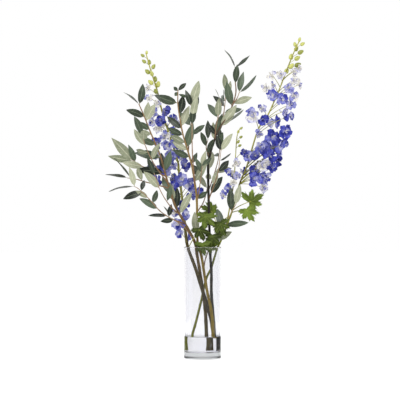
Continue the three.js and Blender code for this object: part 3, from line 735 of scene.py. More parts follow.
class Graph:
    """A material's nodes."""

    def __init__(self, name: str) -> None:
        """Starts a material with no nodes.

        Args:
            name: the material's name.
        """
        self.material = bpy.data.materials.new(name)
        self.material.use_nodes = True
        self.material.node_tree.nodes.clear()

    def node(
        self, kind: str, settings: dict | None = None, inputs: dict | None = None
    ) -> bpy.types.Node:
        """Adds a node.

        Args:
            kind: the node's type, without the word ShaderNode in front.
            settings: its own settings, which are set first.
            inputs: values or links for its sockets, by name or number.

        Returns:
            The node.
        """
        tree = self.material.node_tree
        node = tree.nodes.new("ShaderNode" + kind)
        for name, value in (settings or {}).items():
            if name == "stops":
                ramp = node.color_ramp
                while len(ramp.elements) < len(value):
                    ramp.elements.new(1.0)
                for element, (place, colour) in zip(ramp.elements, value):
                    element.position, element.color = place, colour
            else:
                setattr(node, name, value)
        for name, value in (inputs or {}).items():
            if isinstance(value, Value):
                tree.links.new(value.socket, node.inputs[name])
            elif isinstance(value, bpy.types.NodeSocket):
                tree.links.new(value, node.inputs[name])
            else:
                node.inputs[name].default_value = value
        return node

    def sum(self, operation: str, *terms: Value | float) -> Value:
        """A Math node on one, two or three terms."""
        node = self.node("Math", {"operation": operation}, dict(enumerate(terms)))
        return Value(self, node.outputs[0])

    def step(self, value: Value, low: float, high: float) -> Value:
        """Turns a value into 0 below low and 1 above high, with soft ends.

        Args:
            value: what is turned.
            low: the value that gives 0.
            high: the value that gives 1.

        Returns:
            The share.
        """
        node = self.node(
            "MapRange",
            {"interpolation_type": "SMOOTHSTEP"},
            {"Value": value, "From Min": low, "From Max": high},
        )
        return Value(self, node.outputs[0])

    def mix(self, share: Value | float, first: object, second: object) -> bpy.types.NodeSocket:
        """A colour between two colours."""
        node = self.node("Mix", {"data_type": "RGBA"}, {0: share, 6: first, 7: second})
        return node.outputs[2]

    def ramp(self, value: Value, *stops: tuple[float, int]) -> bpy.types.NodeSocket:
        """A colour picked along a ramp by a value."""
        coloured = [(place, tint(code)) for place, code in stops]
        return self.node("ValToRGB", {"stops": coloured}, {"Fac": value}).outputs["Color"]

    def across(self) -> tuple[Value, Value]:
        """Reads the piece's own map.

        Returns:
            The share across it or round it, and the share along it.
        """
        uv = self.node("UVMap", {"uv_map": "surface"}).outputs["UV"]
        parts = self.node("SeparateXYZ", None, {"Vector": uv}).outputs
        return Value(self, parts["X"]), Value(self, parts["Y"])

    def tone(self) -> Value:
        """The number that each shape was given."""
        return Value(self, self.node("Attribute", {"attribute_name": "tone"}).outputs["Fac"])

    def place(self) -> Value:
        """The point in the part's frame."""
        return Value(self, self.node("TexCoord").outputs["Object"])

    def height(self) -> Value:
        """The height in the part's frame, in metres."""
        return Value(self, self.node("SeparateXYZ", None, {"Vector": self.place()}).outputs["Z"])

    def joined(self, x: Value, y: Value, z: Value) -> Value:
        """A vector of three numbers."""
        return Value(self, self.node("CombineXYZ", None, {0: x, 1: y, 2: z}).outputs[0])

    def noise(self, scale: float, detail: float, vector: Value | None = None) -> Value:
        """Makes soft noise round 0.5.

        Args:
            scale: how many spots there are to a metre, or to one of the vector.
            detail: how many finer layers it has.
            vector: where it is read, or nothing for the point in the part's frame.

        Returns:
            The noise.
        """
        vector = vector or self.place()
        inputs = {"Vector": vector, "Scale": scale, "Detail": detail, "Roughness": 0.55}
        return Value(self, self.node("TexNoise", None, inputs).outputs["Fac"])

    def bump(self, height: Value, strength: float, distance: float) -> bpy.types.NodeSocket:
        """A normal raised by a height, over a distance in millimetres."""
        inputs = {"Height": height, "Strength": strength, "Distance": distance * MM}
        return self.node("Bump", None, inputs).outputs["Normal"]

    def surface(self, colour: object, glow: float = 0.0, **sockets: object) -> bpy.types.Material:
        """Ends the material with a Principled shader.

        Args:
            colour: what feeds Base Color.
            glow: the share of light that comes through from behind.
            sockets: the Principled shader's other sockets, with _ for a space.

        Returns:
            The material.
        """
        inputs = {name.replace("_", " "): value for name, value in sockets.items()}
        shader = self.node("BsdfPrincipled", None, {"Base Color": colour, **inputs}).outputs[0]
        if glow:
            through = self.node("BsdfTranslucent", None, {"Color": colour}).outputs[0]
            shader = self.node("MixShader", None, {0: glow, 1: shader, 2: through}).outputs[0]
        self.node("OutputMaterial", None, {"Surface": shader})
        return self.material


@dataclass(frozen=True)
class OliveFinish:
    """One side of an olive leaf: leathery, with a pale midrib and faint side veins."""

    name: str
    dark: int
    light: int
    rib: int
    rough: float
    rib_width: float
    veins: float
    sheen: float

    def material(self) -> bpy.types.Material:
        """Makes the node material.

        Returns:
            The material.
        """
        g = Graph(self.name)
        u, v = g.across()
        tone = g.tone()
        off = g.sum("ABSOLUTE", u * 2 - 1)
        mottle = g.noise(90, 3)
        shade = g.step(tone * 0.7 + mottle * 0.6, 0.25, 1.0)
        blade = g.mix(shade, tint(self.dark), tint(self.light))
        blade = g.mix(g.step(g.noise(16, 2), 0.45, 0.7) * 0.5, blade, tint(self.dark))
        slant = g.sum("FRACT", v * 11 - off * 1.6 + tone * 3)
        vein = (1 - g.step(g.sum("ABSOLUTE", slant - 0.5), 0.0, 0.16)) * g.step(off, 0.04, 0.3)
        blade = g.mix(vein * self.veins, blade, tint(self.rib))
        edge = g.step(off, 0.86, 1.0)
        blade = g.mix(edge * 0.35, blade, tint(self.light))
        rib = 1 - g.step(off, self.rib_width * 0.4, self.rib_width)
        rib = rib * (1 - g.step(v, 0.8, 1.0) * 0.6)
        stalk = 1 - g.step(v, 0.02, 0.14)
        colour = g.mix(rib * 0.6, blade, tint(self.rib))
        colour = g.mix(stalk * 0.7, colour, tint(0x9A8C62))
        relief = vein * 0.5 - rib * 0.9 + mottle * 0.25
        return g.surface(
            colour,
            0.1,
            Roughness=self.rough - mottle * 0.12,
            Normal=g.bump(relief, 0.6, 0.35),
            Specular_IOR_Level=self.sheen,
        )


@dataclass(frozen=True)
class GreenFinish:
    """A delphinium's soft green leaf, with pale veins down the middle of each lobe."""

    name: str
    dark: int
    light: int
    rib: int

    def material(self) -> bpy.types.Material:
        """Makes the node material.

        Returns:
            The material.
        """
        g = Graph(self.name)
        u, v = g.across()
        off = g.sum("ABSOLUTE", g.sum("FRACT", u) - 0.5) * v
        mottle = g.noise(70, 4)
        shade = g.step(g.tone() * 0.6 + mottle * 0.7 - v * 0.1, 0.25, 0.95)
        blade = g.mix(shade, tint(self.dark), tint(self.light))
        branch = g.sum("FRACT", v * 7 - off * 9)
        small = (1 - g.step(g.sum("ABSOLUTE", branch - 0.5), 0.0, 0.14)) * g.step(off, 0.02, 0.08)
        rib = 1 - g.step(off, 0.012, 0.035)
        blade = g.mix(g.step(g.noise(24, 2), 0.42, 0.66) * 0.6, blade, tint(self.dark))
        colour = g.mix(small * 0.12, blade, tint(self.rib))
        colour = g.mix(rib * 0.22, colour, tint(self.rib))
        relief = mottle * 0.4 - rib - small * 0.4
        return g.surface(
            colour,
            0.2,
            Roughness=0.5 - mottle * 0.1,
            Normal=g.bump(relief, 0.7, 0.4),
            Specular_IOR_Level=0.2,
        )


@dataclass(frozen=True)
class StemFinish:
    """A stem or stalk: streaked along its length, and changing colour from foot to tip."""

    name: str
    foot: int
    tip: int
    streak: int
    change: tuple[float, float] = (0.05, 0.95)
    rough: float = 0.6
    relief: float = 0.4

    def material(self) -> bpy.types.Material:
        """Makes the node material.

        Returns:
            The material.
        """
        g = Graph(self.name)
        u, v = g.across()
        grain = g.noise(1.0, 4, g.joined(u * 9, v * 46, g.tone() * 7))
        spots = g.noise(160, 2)
        body = g.mix(g.step(v + grain * 0.3 - 0.15, *self.change), tint(self.foot), tint(self.tip))
        colour = g.mix(g.step(grain, 0.48, 0.72) * 0.75, body, tint(self.streak))
        colour = g.mix(g.step(spots, 0.6, 0.72) * 0.3, colour, tint(self.tip))
        return g.surface(
            colour,
            Roughness=self.rough + grain * 0.15,
            Normal=g.bump(grain + spots * 0.5, 0.7, self.relief),
            Specular_IOR_Level=0.15,
        )


@dataclass(frozen=True)
class PetalFinish:
    """A floret's sepals, from white to deep blue by their tone, veined from base to edge."""

    name: str

    def material(self) -> bpy.types.Material:
        """Makes the node material.

        Returns:
            The material.
        """
        g = Graph(self.name)
        u, v = g.across()
        tone = g.tone()
        off = g.sum("ABSOLUTE", u * 2 - 1)
        mottle = g.noise(120, 3)
        veins = g.noise(1.0, 3, g.joined(u * 13, v * 1.6, tone * 40))
        patch = g.noise(52, 2)
        depth = tone + (mottle - 0.5) * 0.35 + g.step(v, 0.35, 1.0) * 0.2 - 0.2
        depth = depth + (patch - 0.5) * 0.85
        depth = depth + (veins - 0.5) * (tone * 0.6 + 0.2) * g.step(v, 0.05, 0.5)
        depth = depth - (1 - g.step(v, 0.0, 0.36)) * 0.36
        colour = g.ramp(
            depth,
            (0.0, 0xF2F0E8),
            (0.22, 0xDCDCF2),
            (0.45, 0xA4A7E0),
            (0.66, 0x7277CE),
            (0.84, 0x4A51BE),
            (1.0, 0x323890),
        )
        spot = g.step(v, 0.7, 0.95) * (1 - g.step(off, 0.25, 0.85)) * g.step(mottle, 0.4, 0.6)
        colour = g.mix(spot * 0.5, colour, tint(0x5A50AE))
        colour = g.mix(g.step(off, 0.84, 1.0) * 0.3, colour, tint(0x6A4CA8))
        return g.surface(
            colour,
            0.3,
            Roughness=0.6 - mottle * 0.1,
            Normal=g.bump(veins + mottle * 0.5, 0.6, 0.3),
            Specular_IOR_Level=0.1,
        )


@dataclass(frozen=True)
class BudFinish:
    """A closed bud: yellow-green, darker towards its seams and its tip."""

    name: str
    dark: int
    light: int
    tip: int

    def material(self) -> bpy.types.Material:
        """Makes the node material.

        Returns:
            The material.
        """
        g = Graph(self.name)
        u, v = g.across()
        seam = g.sum("ABSOLUTE", g.sum("FRACT", u * 5) * 2 - 1)
        mottle = g.noise(200, 3)
        shade = g.step(mottle * 0.8 + g.tone() * 0.5 - seam * 0.2, 0.2, 0.9)
        colour = g.mix(shade, tint(self.dark), tint(self.light))
        colour = g.mix(g.step(v, 0.75, 1.0) * 0.6, colour, tint(self.tip))
        return g.surface(
            colour, 0.15, Roughness=0.5 - mottle * 0.1, Normal=g.bump(mottle - seam, 0.5, 0.3)
        )


@dataclass(frozen=True)
class ClearFinish:
    """Glass or water: clear, with the faintest tint and smear, and perhaps a greyer base."""

    name: str
    clear: int
    smear: int
    bend: float  # the index of refraction
    rough: float = 0.0
    base: float = 0.0  # the height below which it is greyer
    base_grey: int = 0xFFFFFF

    def material(self) -> bpy.types.Material:
        """Makes the node material.

        Returns:
            The material.
        """
        g = Graph(self.name)
        cloud = g.noise(14, 3)
        colour = g.mix(g.step(cloud, 0.35, 0.75), tint(self.clear), tint(self.smear))
        if self.base:
            foot = 1 - g.step(g.height(), (self.base - 1) * MM, (self.base + 1) * MM)
            colour = g.mix(foot, colour, tint(self.base_grey))
        rough = g.step(cloud, 0.6, 0.9) * self.rough if self.rough else 0.0
        return g.surface(colour, Roughness=rough, Transmission_Weight=1.0, IOR=self.bend)


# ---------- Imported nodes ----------


@dataclass
class PackedNode:
    """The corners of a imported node, by which a leaf is found again."""

    name: str

    def __post_init__(self) -> None:
        """Reads the corners."""
        vertices = FRAME["nodes"][self.name].data.vertices
        self.tree = KDTree(len(vertices))
        for number, vertex in enumerate(vertices):
            self.tree.insert(vertex.co, number)
        self.tree.balance()

    def has_corner(self, point: Array) -> bool:
        """True if the node has a corner within a millimetre of a point in millimetres."""
        return self.tree.find(point * MM)[2] < MM


# ---------- Vase and water ----------


@dataclass
class GlassVase:
    """A straight clear cylinder with a thick flat base, and the water in it."""

    radius: float = VASE_RADIUS
    height: float = VASE_HEIGHT
    wall: float = VASE_WALL
    floor: float = VASE_FLOOR
    foot: float = 1.5  # the rounding round the underside
    corner: float = 4.0  # the rounding between the floor and the wall
    wetting: float = 0.12  # how far the water reaches into the glass
    climb: float = 1.2  # how far the water's level curves up the wall
    fade: float = 1.1  # how soon that curve falls off
    sides: int = 160

    @staticmethod
    def arc(
        middle: tuple[float, float], radius: float, start: float, end: float, steps: int
    ) -> Array:
        """Makes an arc of a profile: middle + radius * (cos, sin).

        Args:
            middle: its centre, as (radius, height).
            radius: its own radius.
            start: where it starts, in degrees.
            end: where it ends, in degrees.
            steps: how many points it has.

        Returns:
            The points, (steps, 2).
        """
        turn = np.radians(np.linspace(start, end, steps))
        across, up = middle
        return np.stack([across + radius * np.cos(turn), up + radius * np.sin(turn)], -1)

    def lathe(self, profile: Array) -> Array:
        """Makes a surface of revolution: (r cos turn, r sin turn, z).

        Args:
            profile: its points (r, z), (rows, 2).

        Returns:
            The grid, (1, rows, sides, 3).
        """
        turn = TAU * np.arange(self.sides) / self.sides
        ring = np.stack([np.cos(turn), np.sin(turn), np.zeros_like(turn)], -1)
        grid = profile[:, None, :1] * ring[None]
        grid[..., 2] += profile[:, None, 1]
        return grid[None]

    def glass(self) -> None:
        """The vase: up the outside, over the rounded rim and down the inside to its floor."""
        inner, lip, margin = self.radius - self.wall, self.wall / 2, 6
        profile = np.vstack([
            [[0, 0], [30, 0], [self.radius - 2.2, 0]],
            self.arc((self.radius - self.foot, self.foot), self.foot, -80, 0, 6),
            [[self.radius, z] for z in np.linspace(margin, self.height - margin, 8)],
            self.arc((inner + lip, self.height - lip), lip, 0, 180, 11),
            [[inner, z] for z in np.linspace(self.height - margin, self.floor + 8, 8)],
            self.arc((inner - self.corner, self.floor + self.corner), self.corner, 0, -90, 8),
            [[24, self.floor], [0, self.floor]],
        ])
        pile = Pile()
        pile.add(self.lathe(profile))
        finish = ClearFinish(
            "clear_glass",
            clear=0xF8F8FA,
            smear=0xF5F5F8,
            bend=1.47,
            rough=0.02,
            base=self.floor,
            base_grey=0xC0C2C4,
        )
        piece = pile.piece("glass_vase", "clear_glass", [finish.material()], ("vase",))
        piece.visible_shadow = False

    def water(self) -> None:
        """The water: it wets the wall, where its level curves up by climb * exp(-x / fade)."""
        wet = self.radius - self.wall + self.wetting
        low = self.floor - self.wetting
        corner = self.corner
        bend = [(x, self.climb * math.exp(-x / self.fade)) for x in (0.4, 0.9, 1.6, 2.6, 4, 7)]
        profile = np.vstack([
            [[0, low], [24, low]],
            self.arc((wet - corner, low + corner), corner, -90, 0, 8),
            [[wet, 28], [wet, 44], [wet, WATER_LEVEL + self.climb]],
            [[wet - x, WATER_LEVEL + rise] for x, rise in bend],
            [[30, WATER_LEVEL], [0, WATER_LEVEL]],
        ])
        pile = Pile()
        pile.add(self.lathe(profile))
        finish = ClearFinish("water", clear=0xF4F4F5, smear=0xF1F1F4, bend=1.33)
        piece = pile.piece("vase_water", "water", [finish.material()], ("water",))
        piece.visible_shadow = False

    def build(self) -> None:
        """Makes both pieces."""
        self.glass()
        self.water()


# ---------- Stems ----------


@dataclass
class Stem:
    """A tapered stem along a route, with joints that stand a little proud."""

    line: Line
    radii: tuple[float, float]
    start: float = 0.0
    end: float = 1.0
    joint: float = 0.0  # how far a joint stands proud, as a share of the radius
    apart: float = 52.0  # from joint to joint
    sides: int = 12
    swell: float = 3.5  # half a joint's length
    rows: int = 9  # rings from knot to knot

    def grid(self) -> Array:
        """Makes the stem's surface.

        The radius falls from foot to tip in step with the line's share, times one plus a joint's
        bump, which is a bell curve of its distance from the nearest joint.

        Returns:
            The grid, (1, rows, sides, 3).
        """
        rows = max(12, int(len(self.line.route) * self.rows * (self.end - self.start)))
        share = np.linspace(self.start, self.end, rows)
        centres = self.line.at(share)
        taper = self.radii[0] + (self.radii[1] - self.radii[0]) * share
        run = np.cumsum(np.linalg.norm(np.diff(centres, axis=0, prepend=centres[:1]), axis=1))
        off = (run + self.apart / 2) % self.apart - self.apart / 2
        bump = self.joint * np.exp(-((off / self.swell) ** 2))
        return tubes(centres[None], (taper * (1 + bump))[None], self.sides)


# ---------- Delphiniums ----------


@dataclass(frozen=True)
class Whorl:
    """A ring of sepals, for a floret with a radius of one."""

    size: float  # their length
    width: float  # half their widest width, for a length of one
    turn: float  # radians that the ring is turned by
    tip: float  # radians that they are tipped forward by
    depth: float  # how deep their blue is, for that of the floret
    count: int = 5


OUTER = Whorl(size=1.04, width=0.5, turn=TAU / 10, tip=-0.08, depth=1.0)
INNER = Whorl(size=0.68, width=0.44, turn=0.0, tip=0.5, depth=0.8)


@dataclass(frozen=True)
class Crown:
    """The florets' middles, the three directions of each, their radii and their turns."""

    middle: Array
    face: Array
    side: Array
    up: Array
    radius: Array
    turn: Array

    def out_at(self, angle: Array) -> tuple[Array, Array]:
        """Finds the directions in each floret's plane at angles round its face.

        Args:
            angle: (florets, petals), in radians.

        Returns:
            The directions side * cos(angle) + up * sin(angle), and the ones across them.
        """
        side = self.side[:, None] * np.cos(angle)[..., None]
        out = side + self.up[:, None] * np.sin(angle)[..., None]
        return out, np.cross(self.face[:, None], out)


@dataclass
class Spike:
    """A delphinium's flower spike: its axis, stalked florets, and the buds at its tip."""

    name: str
    line: Line
    radii: tuple[float, float]
    spike_from: float
    buds_from: float
    seed: int
    layer: float = 13.0  # depth between florets that lie over each other
    rounds: int = 40  # how often they are pushed apart
    hidden: float = 10.0  # florets further behind the axis than this face the back more
    turn: float = 47.0  # degrees from one floret's sepals to the next one's
    calyx: float = 0.13  # how far behind its sepals a stalk ends, in radii
    stalk: float = 0.95  # a floret's stalk at its root
    stalk_rows: int = 9
    neck: float = 0.62  # a bud's stalk
    egg: float = 1.5  # a bud's half length, in radii
    egg_rows: int = 11

    def layered(self) -> Array:
        """Moves florets that lie over each other apart in depth, like tiles.

        Two florets whose circles overlap in the front view get a depth between them of up to the
        layer: each is pushed a quarter of what is lacking, round after round.

        Returns:
            The spike's table of florets, with its depths changed.
        """
        spread = np.array(FLORETS[self.name], float)
        for _ in range(self.rounds):
            for i in range(len(spread)):
                for j in range(i + 1, len(spread)):
                    a, b = spread[i], spread[j]
                    near = 1 - math.hypot(a[0] - b[0], a[2] - b[2]) / (a[3] + b[3])
                    lack = self.layer * min(1, 2 * near) - abs(a[1] - b[1]) if near > 0 else 0
                    if lack > 0:
                        push = (-lack if a[1] < b[1] else lack) / 4
                        a[1] += push
                        b[1] -= push
        return spread

    def florets(self, looks: Looks) -> None:
        """Makes all the florets, with their hearts and spurs, as one piece, then the stalks.

        A floret looks away from the axis and to the front, along 0.75 * away + 0.8 * front - 0.12
        * up. One that lies well behind the axis looks to the back.

        Args:
            looks: the shared finishes by name.
        """
        table = self.layered()
        draw = np.random.default_rng(self.seed)
        count = len(table)
        radius = table[:, 3]
        level = self.line.at(self.line.reaches(table[:, 2]))
        middle = np.stack([table[:, 0], level[:, 1] + table[:, 1], table[:, 2]], -1)
        away = middle - level
        away[:, 2] = 0
        length = np.linalg.norm(away, axis=1)
        outward, forward, nod, back = 0.75, 0.8, 0.12, 1.4
        face = unit(outward * unit(away) + forward * FRONT - nod * UPWARD)
        behind = table[:, 1] > self.hidden
        face[behind, 1] = np.abs(face[behind, 1]) * back
        face = unit(face)
        side, up = square_to(face)
        turn = np.radians(self.turn * np.arange(count))
        tone = np.array([TONE_LETTERS[letter].value for letter in FLORET_TONES[self.name]])
        pile = Pile()
        crown = Crown(middle, face, side, up, radius, turn)
        self.sepals(pile, crown, OUTER, tone, draw)
        self.sepals(pile, crown, INNER, tone, draw)
        self.hearts(pile, crown, draw)
        calyx = middle - self.calyx * radius[:, None] * face
        self.spurs(pile, calyx, face, radius, tone)
        nodes = (f"{self.name}_spike",)
        slot = "pale_petals" if self.name.endswith("side") else "blue_petals"
        pile.piece(f"{self.name}_florets", slot, [looks["petal"], looks["heart"]], nodes)
        self.stalks(looks, calyx - face * 0.5, length, table[:, 2])

    @staticmethod
    def sepals(
        pile: Pile, crown: Crown, whorl: Whorl, tone: Array, draw: np.random.Generator
    ) -> None:
        """Adds one whorl of cupped, ruffled sepals to each floret.

        In words: at share s out along a sepal and share k across it, the point is the floret's
        middle, plus the sepal's direction times size * (claw + (1 - claw) * s), plus the way
        across times k times the half width, which grows from a narrow claw to its widest place and
        rounds off to the tip, plus the floret's face times size * (cup * s ** 1.5 - twist * k * s
        + trough * k ** 2 * width + curl + ruffle), and each sepal is tipped by its own angle.

        Args:
            pile: what they are added to.
            crown: the florets' middles and directions.
            whorl: the sepals' sizes.
            tone: how blue each floret is.
            draw: where the small differences come from.
        """
        half, rows = 4, 8
        claw, narrow, widest, notch = 0.05, 0.13, 0.62, 0.12
        trough, ruffle, thickness = 0.3, 0.075, 0.2
        pale, slimmer = 0.3, 0.72  # a floret paler than the first is slimmer by the second
        k, sign = shell_shares(half)
        s = np.linspace(0, 1, rows)
        grow = narrow + (whorl.width - narrow) * ease(s, 0.0, widest)
        taper = np.sqrt(np.clip(1 - (np.clip(s - widest, 0, 1) / (1 - widest)) ** 2, 0, 1))
        width = np.where(s > 0, grow * taper, 0)
        shape = (len(crown.middle), whorl.count)
        angle = crown.turn[:, None] + whorl.turn + TAU / whorl.count * np.arange(whorl.count)
        out, across = crown.out_at(angle + draw.normal(0, 0.15, shape))
        tip = whorl.tip + draw.normal(0, 0.3, shape)
        face = crown.face[:, None] * np.cos(tip)[..., None] - out * np.sin(tip)[..., None]
        out = out * np.cos(tip)[..., None] + crown.face[:, None] * np.sin(tip)[..., None]
        size = crown.radius[:, None] * whorl.size * draw.uniform(0.78, 1.16, shape)
        slim = np.where(tone < pale, slimmer, 1.0)[:, None] * draw.uniform(0.86, 1.06, shape)
        cup, twist = draw.uniform(0.0, 0.5, shape), draw.uniform(-0.28, 0.3, shape)
        wave, curl = draw.uniform(0, TAU, shape), draw.uniform(-0.5, 0.3, shape)
        sway = draw.normal(0, 0.07, shape)

        def each(values: Array) -> Array:
            """One number for each sepal, ready for its grid."""
            return values[..., None, None]

        s_, k_, w = s[:, None], k[None], width[:, None]
        along = claw + (1 - claw) * s_ - notch * k_**2 * s_**2
        rise = each(cup) * s_**1.5 - each(twist) * k_ * s_ + trough * k_**2 * w
        rise = rise + each(curl) * np.clip(s_ - 0.5, 0, 1) ** 2 * 1.5
        rise = rise + ruffle * s_ * np.sin(each(wave) + 5.6 * k_ + 3.4 * s_)
        lift = sign * thickness * np.sqrt(np.clip(1 - k**2, 0, 1))
        lift = lift * np.minimum(1, 8 * s_ * (1 - s_) + 0.1)
        lift = np.where((s_ > 0) & (s_ < 1), lift, 0)
        off = w * k_ + each(sway) * s_**2
        grid = (
            crown.middle[:, None, None, None]
            + (each(size) * along)[..., None] * out[:, :, None, None]
            + (each(size * slim) * off)[..., None] * across[:, :, None, None]
            + (each(size) * rise + lift)[..., None] * face[:, :, None, None]
        )
        shade = np.clip(tone[:, None] * whorl.depth + draw.normal(0, 0.2, shape), 0, 1)
        pile.add(grid.reshape(-1, *grid.shape[2:]), shade.ravel(), 0, shell_map(s, k))

    @staticmethod
    def hearts(pile: Pile, crown: Crown, draw: np.random.Generator) -> None:
        """Adds the small upright petals at the heart of each floret.

        A point is on a strip that leaves the middle along its own direction and bends up to the
        face: radius * (0.06 + 0.17 * sin(90 s)) outwards and radius * (0.04 + 0.34 s) upwards.

        Args:
            pile: what they are added to.
            crown: the florets' middles and directions.
            draw: where the small differences come from.
        """
        half, rows, petals, thickness = 2, 5, 4, 0.15
        k, sign = shell_shares(half)
        s = np.linspace(0, 1, rows)
        width = 0.1 * np.sin(np.pi * (0.12 + 0.88 * s)) ** 0.7
        width[0] = width[-1] = 0
        shape = (len(crown.middle), petals)
        angle = crown.turn[:, None] + 0.4 + TAU / petals * np.arange(petals)
        out, across = crown.out_at(angle + draw.normal(0, 0.2, shape))
        size = (crown.radius[:, None] * draw.uniform(0.8, 1.2, shape))[..., None, None, None]
        s_, k_ = s[:, None], k[None]
        lift = sign * thickness * np.sqrt(np.clip(1 - k**2, 0, 1))
        lift = lift * np.where((s_ > 0) & (s_ < 1), 1, 0)
        reach = (0.06 + 0.17 * np.sin(s_ * np.pi / 2) + 0 * k_)[..., None]
        rise = (0.34 * s_ + 0.04 + 0 * k_)[..., None]
        grid = (
            crown.middle[:, None, None, None]
            + size * reach * out[:, :, None, None]
            + size * (width[:, None] * k_)[..., None] * across[:, :, None, None]
            + (size * rise + lift[..., None]) * crown.face[:, None, None, None]
        )
        tones = draw.uniform(0, 1, shape).ravel()
        pile.add(grid.reshape(-1, *grid.shape[2:]), tones, 1, shell_map(s, k))

    @staticmethod
    def spurs(pile: Pile, calyx: Array, face: Array, radius: Array, tone: Array) -> None:
        """Adds a spur behind each floret, three quarters of its radius long.

        At share s along it, it has risen by 0.45 * length * s ** 2, and its radius is the floret's
        times (0.17 - 0.13 * s ** 0.7).

        Args:
            pile: what they are added to.
            calyx: where they start, (florets, 3).
            face: where the florets look, (florets, 3).
            radius: the florets' radii.
            tone: how blue each floret is.
        """
        s = np.linspace(0, 1, 6)[None, :, None]
        length = 0.75 * radius[:, None, None]
        line = calyx[:, None] - face[:, None] * length * s
        line[..., 2] += (length * 0.45 * s**2)[..., 0]
        width = radius[:, None] * (0.17 - 0.13 * s[..., 0] ** 0.7)
        pile.add(tubes(line, width, sides=6), np.clip(tone * 0.9, 0, 1))

    def stalks(self, looks: Looks, calyx: Array, length: Array, height: Array) -> None:
        """Makes the spike's axis and a stalk to each floret.

        A stalk leaves the axis lower, the further it reaches: at height - 6 - 0.75 * length. At
        share t along it, its radius is 0.95 - 0.35 t, and it widens by 0.5 where it ends.

        Args:
            looks: the shared finishes by name.
            calyx: where the stalks end.
            length: how far from the axis the florets' middles are.
            height: the florets' heights.
        """
        lowest, drop, slope = self.spike_from + 3, 6, 0.75
        low = np.maximum(lowest, height - drop - slope * length)
        root = self.line.at(self.line.reaches(low))
        start, end = self.line.reach(self.spike_from), self.line.reach(self.buds_from)
        pile = Pile()
        axis = Stem(self.line, self.radii, start, end, joint=0.12, apart=23.0, sides=10)
        pile.add(axis.grid(), tone=0.5, finish=1)
        path = curves(root, calyx, lift=0.12, rows=self.stalk_rows)
        t = np.linspace(0, 1, self.stalk_rows)
        width = self.stalk - 0.35 * t + 0.5 * ease(t, 0.85, 1.0)
        width = np.broadcast_to(width, (len(root), self.stalk_rows))
        tones = np.random.default_rng(self.seed + STALK_SEED).uniform(0, 1, len(root))
        pile.add(tubes(path, width, sides=6), tones)
        nodes = (f"{self.name}_spike",)
        pile.piece(f"{self.name}_stalks", "green_buds", [looks["stalk"], looks["axis"]], nodes)

    def buds(self, looks: Looks) -> None:
        """Makes the bud tip: the end of the axis, and buds drawn in to short stalks.

        A bud is a surface of revolution about the way from its root to its middle: a thin neck,
        then an egg whose radius is the bud's times sin(turn) * (1 - 0.25 * cos(turn)).

        Args:
            looks: the shared finishes by name.
        """
        table = np.array(BUDS[self.name], float)
        radius = table[:, 2]
        lowest, drop, thinnest = self.buds_from + 1.5, 2.2, 0.4
        low = np.maximum(lowest, table[:, 1] - drop * radius)
        root = self.line.at(self.line.reaches(low))
        swing = np.where(np.arange(len(table)) % 2, 1, -1)
        middle = np.stack([table[:, 0], root[:, 1] + swing * radius, table[:, 1]], -1)
        far = np.linalg.norm(middle - root, axis=1)[:, None]
        turn = np.linspace(math.pi, 0, self.egg_rows)
        egg = far + self.egg * radius[:, None] * np.cos(turn)
        s = np.concatenate([np.linspace(0, 0.8, 3) * np.maximum(egg[:, :1], 1), egg], axis=1)
        line = root[:, None] + unit(middle - root)[:, None] * s[..., None]
        belly = radius[:, None] * np.sin(turn) * (1 - 0.25 * np.cos(turn))
        necks = np.full((len(table), 3), self.neck)
        width = np.concatenate([necks, np.maximum(belly, thinnest)], axis=1)
        start = self.line.reach(self.buds_from)
        pile = Pile()
        axis = Stem(self.line, self.radii, start, joint=0.1, apart=12.0, sides=8)
        pile.add(axis.grid(), tone=0.4, finish=1)
        tones = np.random.default_rng(self.seed + BUD_SEED).uniform(0, 1, len(table))
        pile.add(tubes(line, width, sides=10), tones)
        finishes = [looks["bud"], looks["stalk"]]
        pile.piece(f"{self.name}_bud_tip", "green_buds", finishes, (f"{self.name}_buds",))


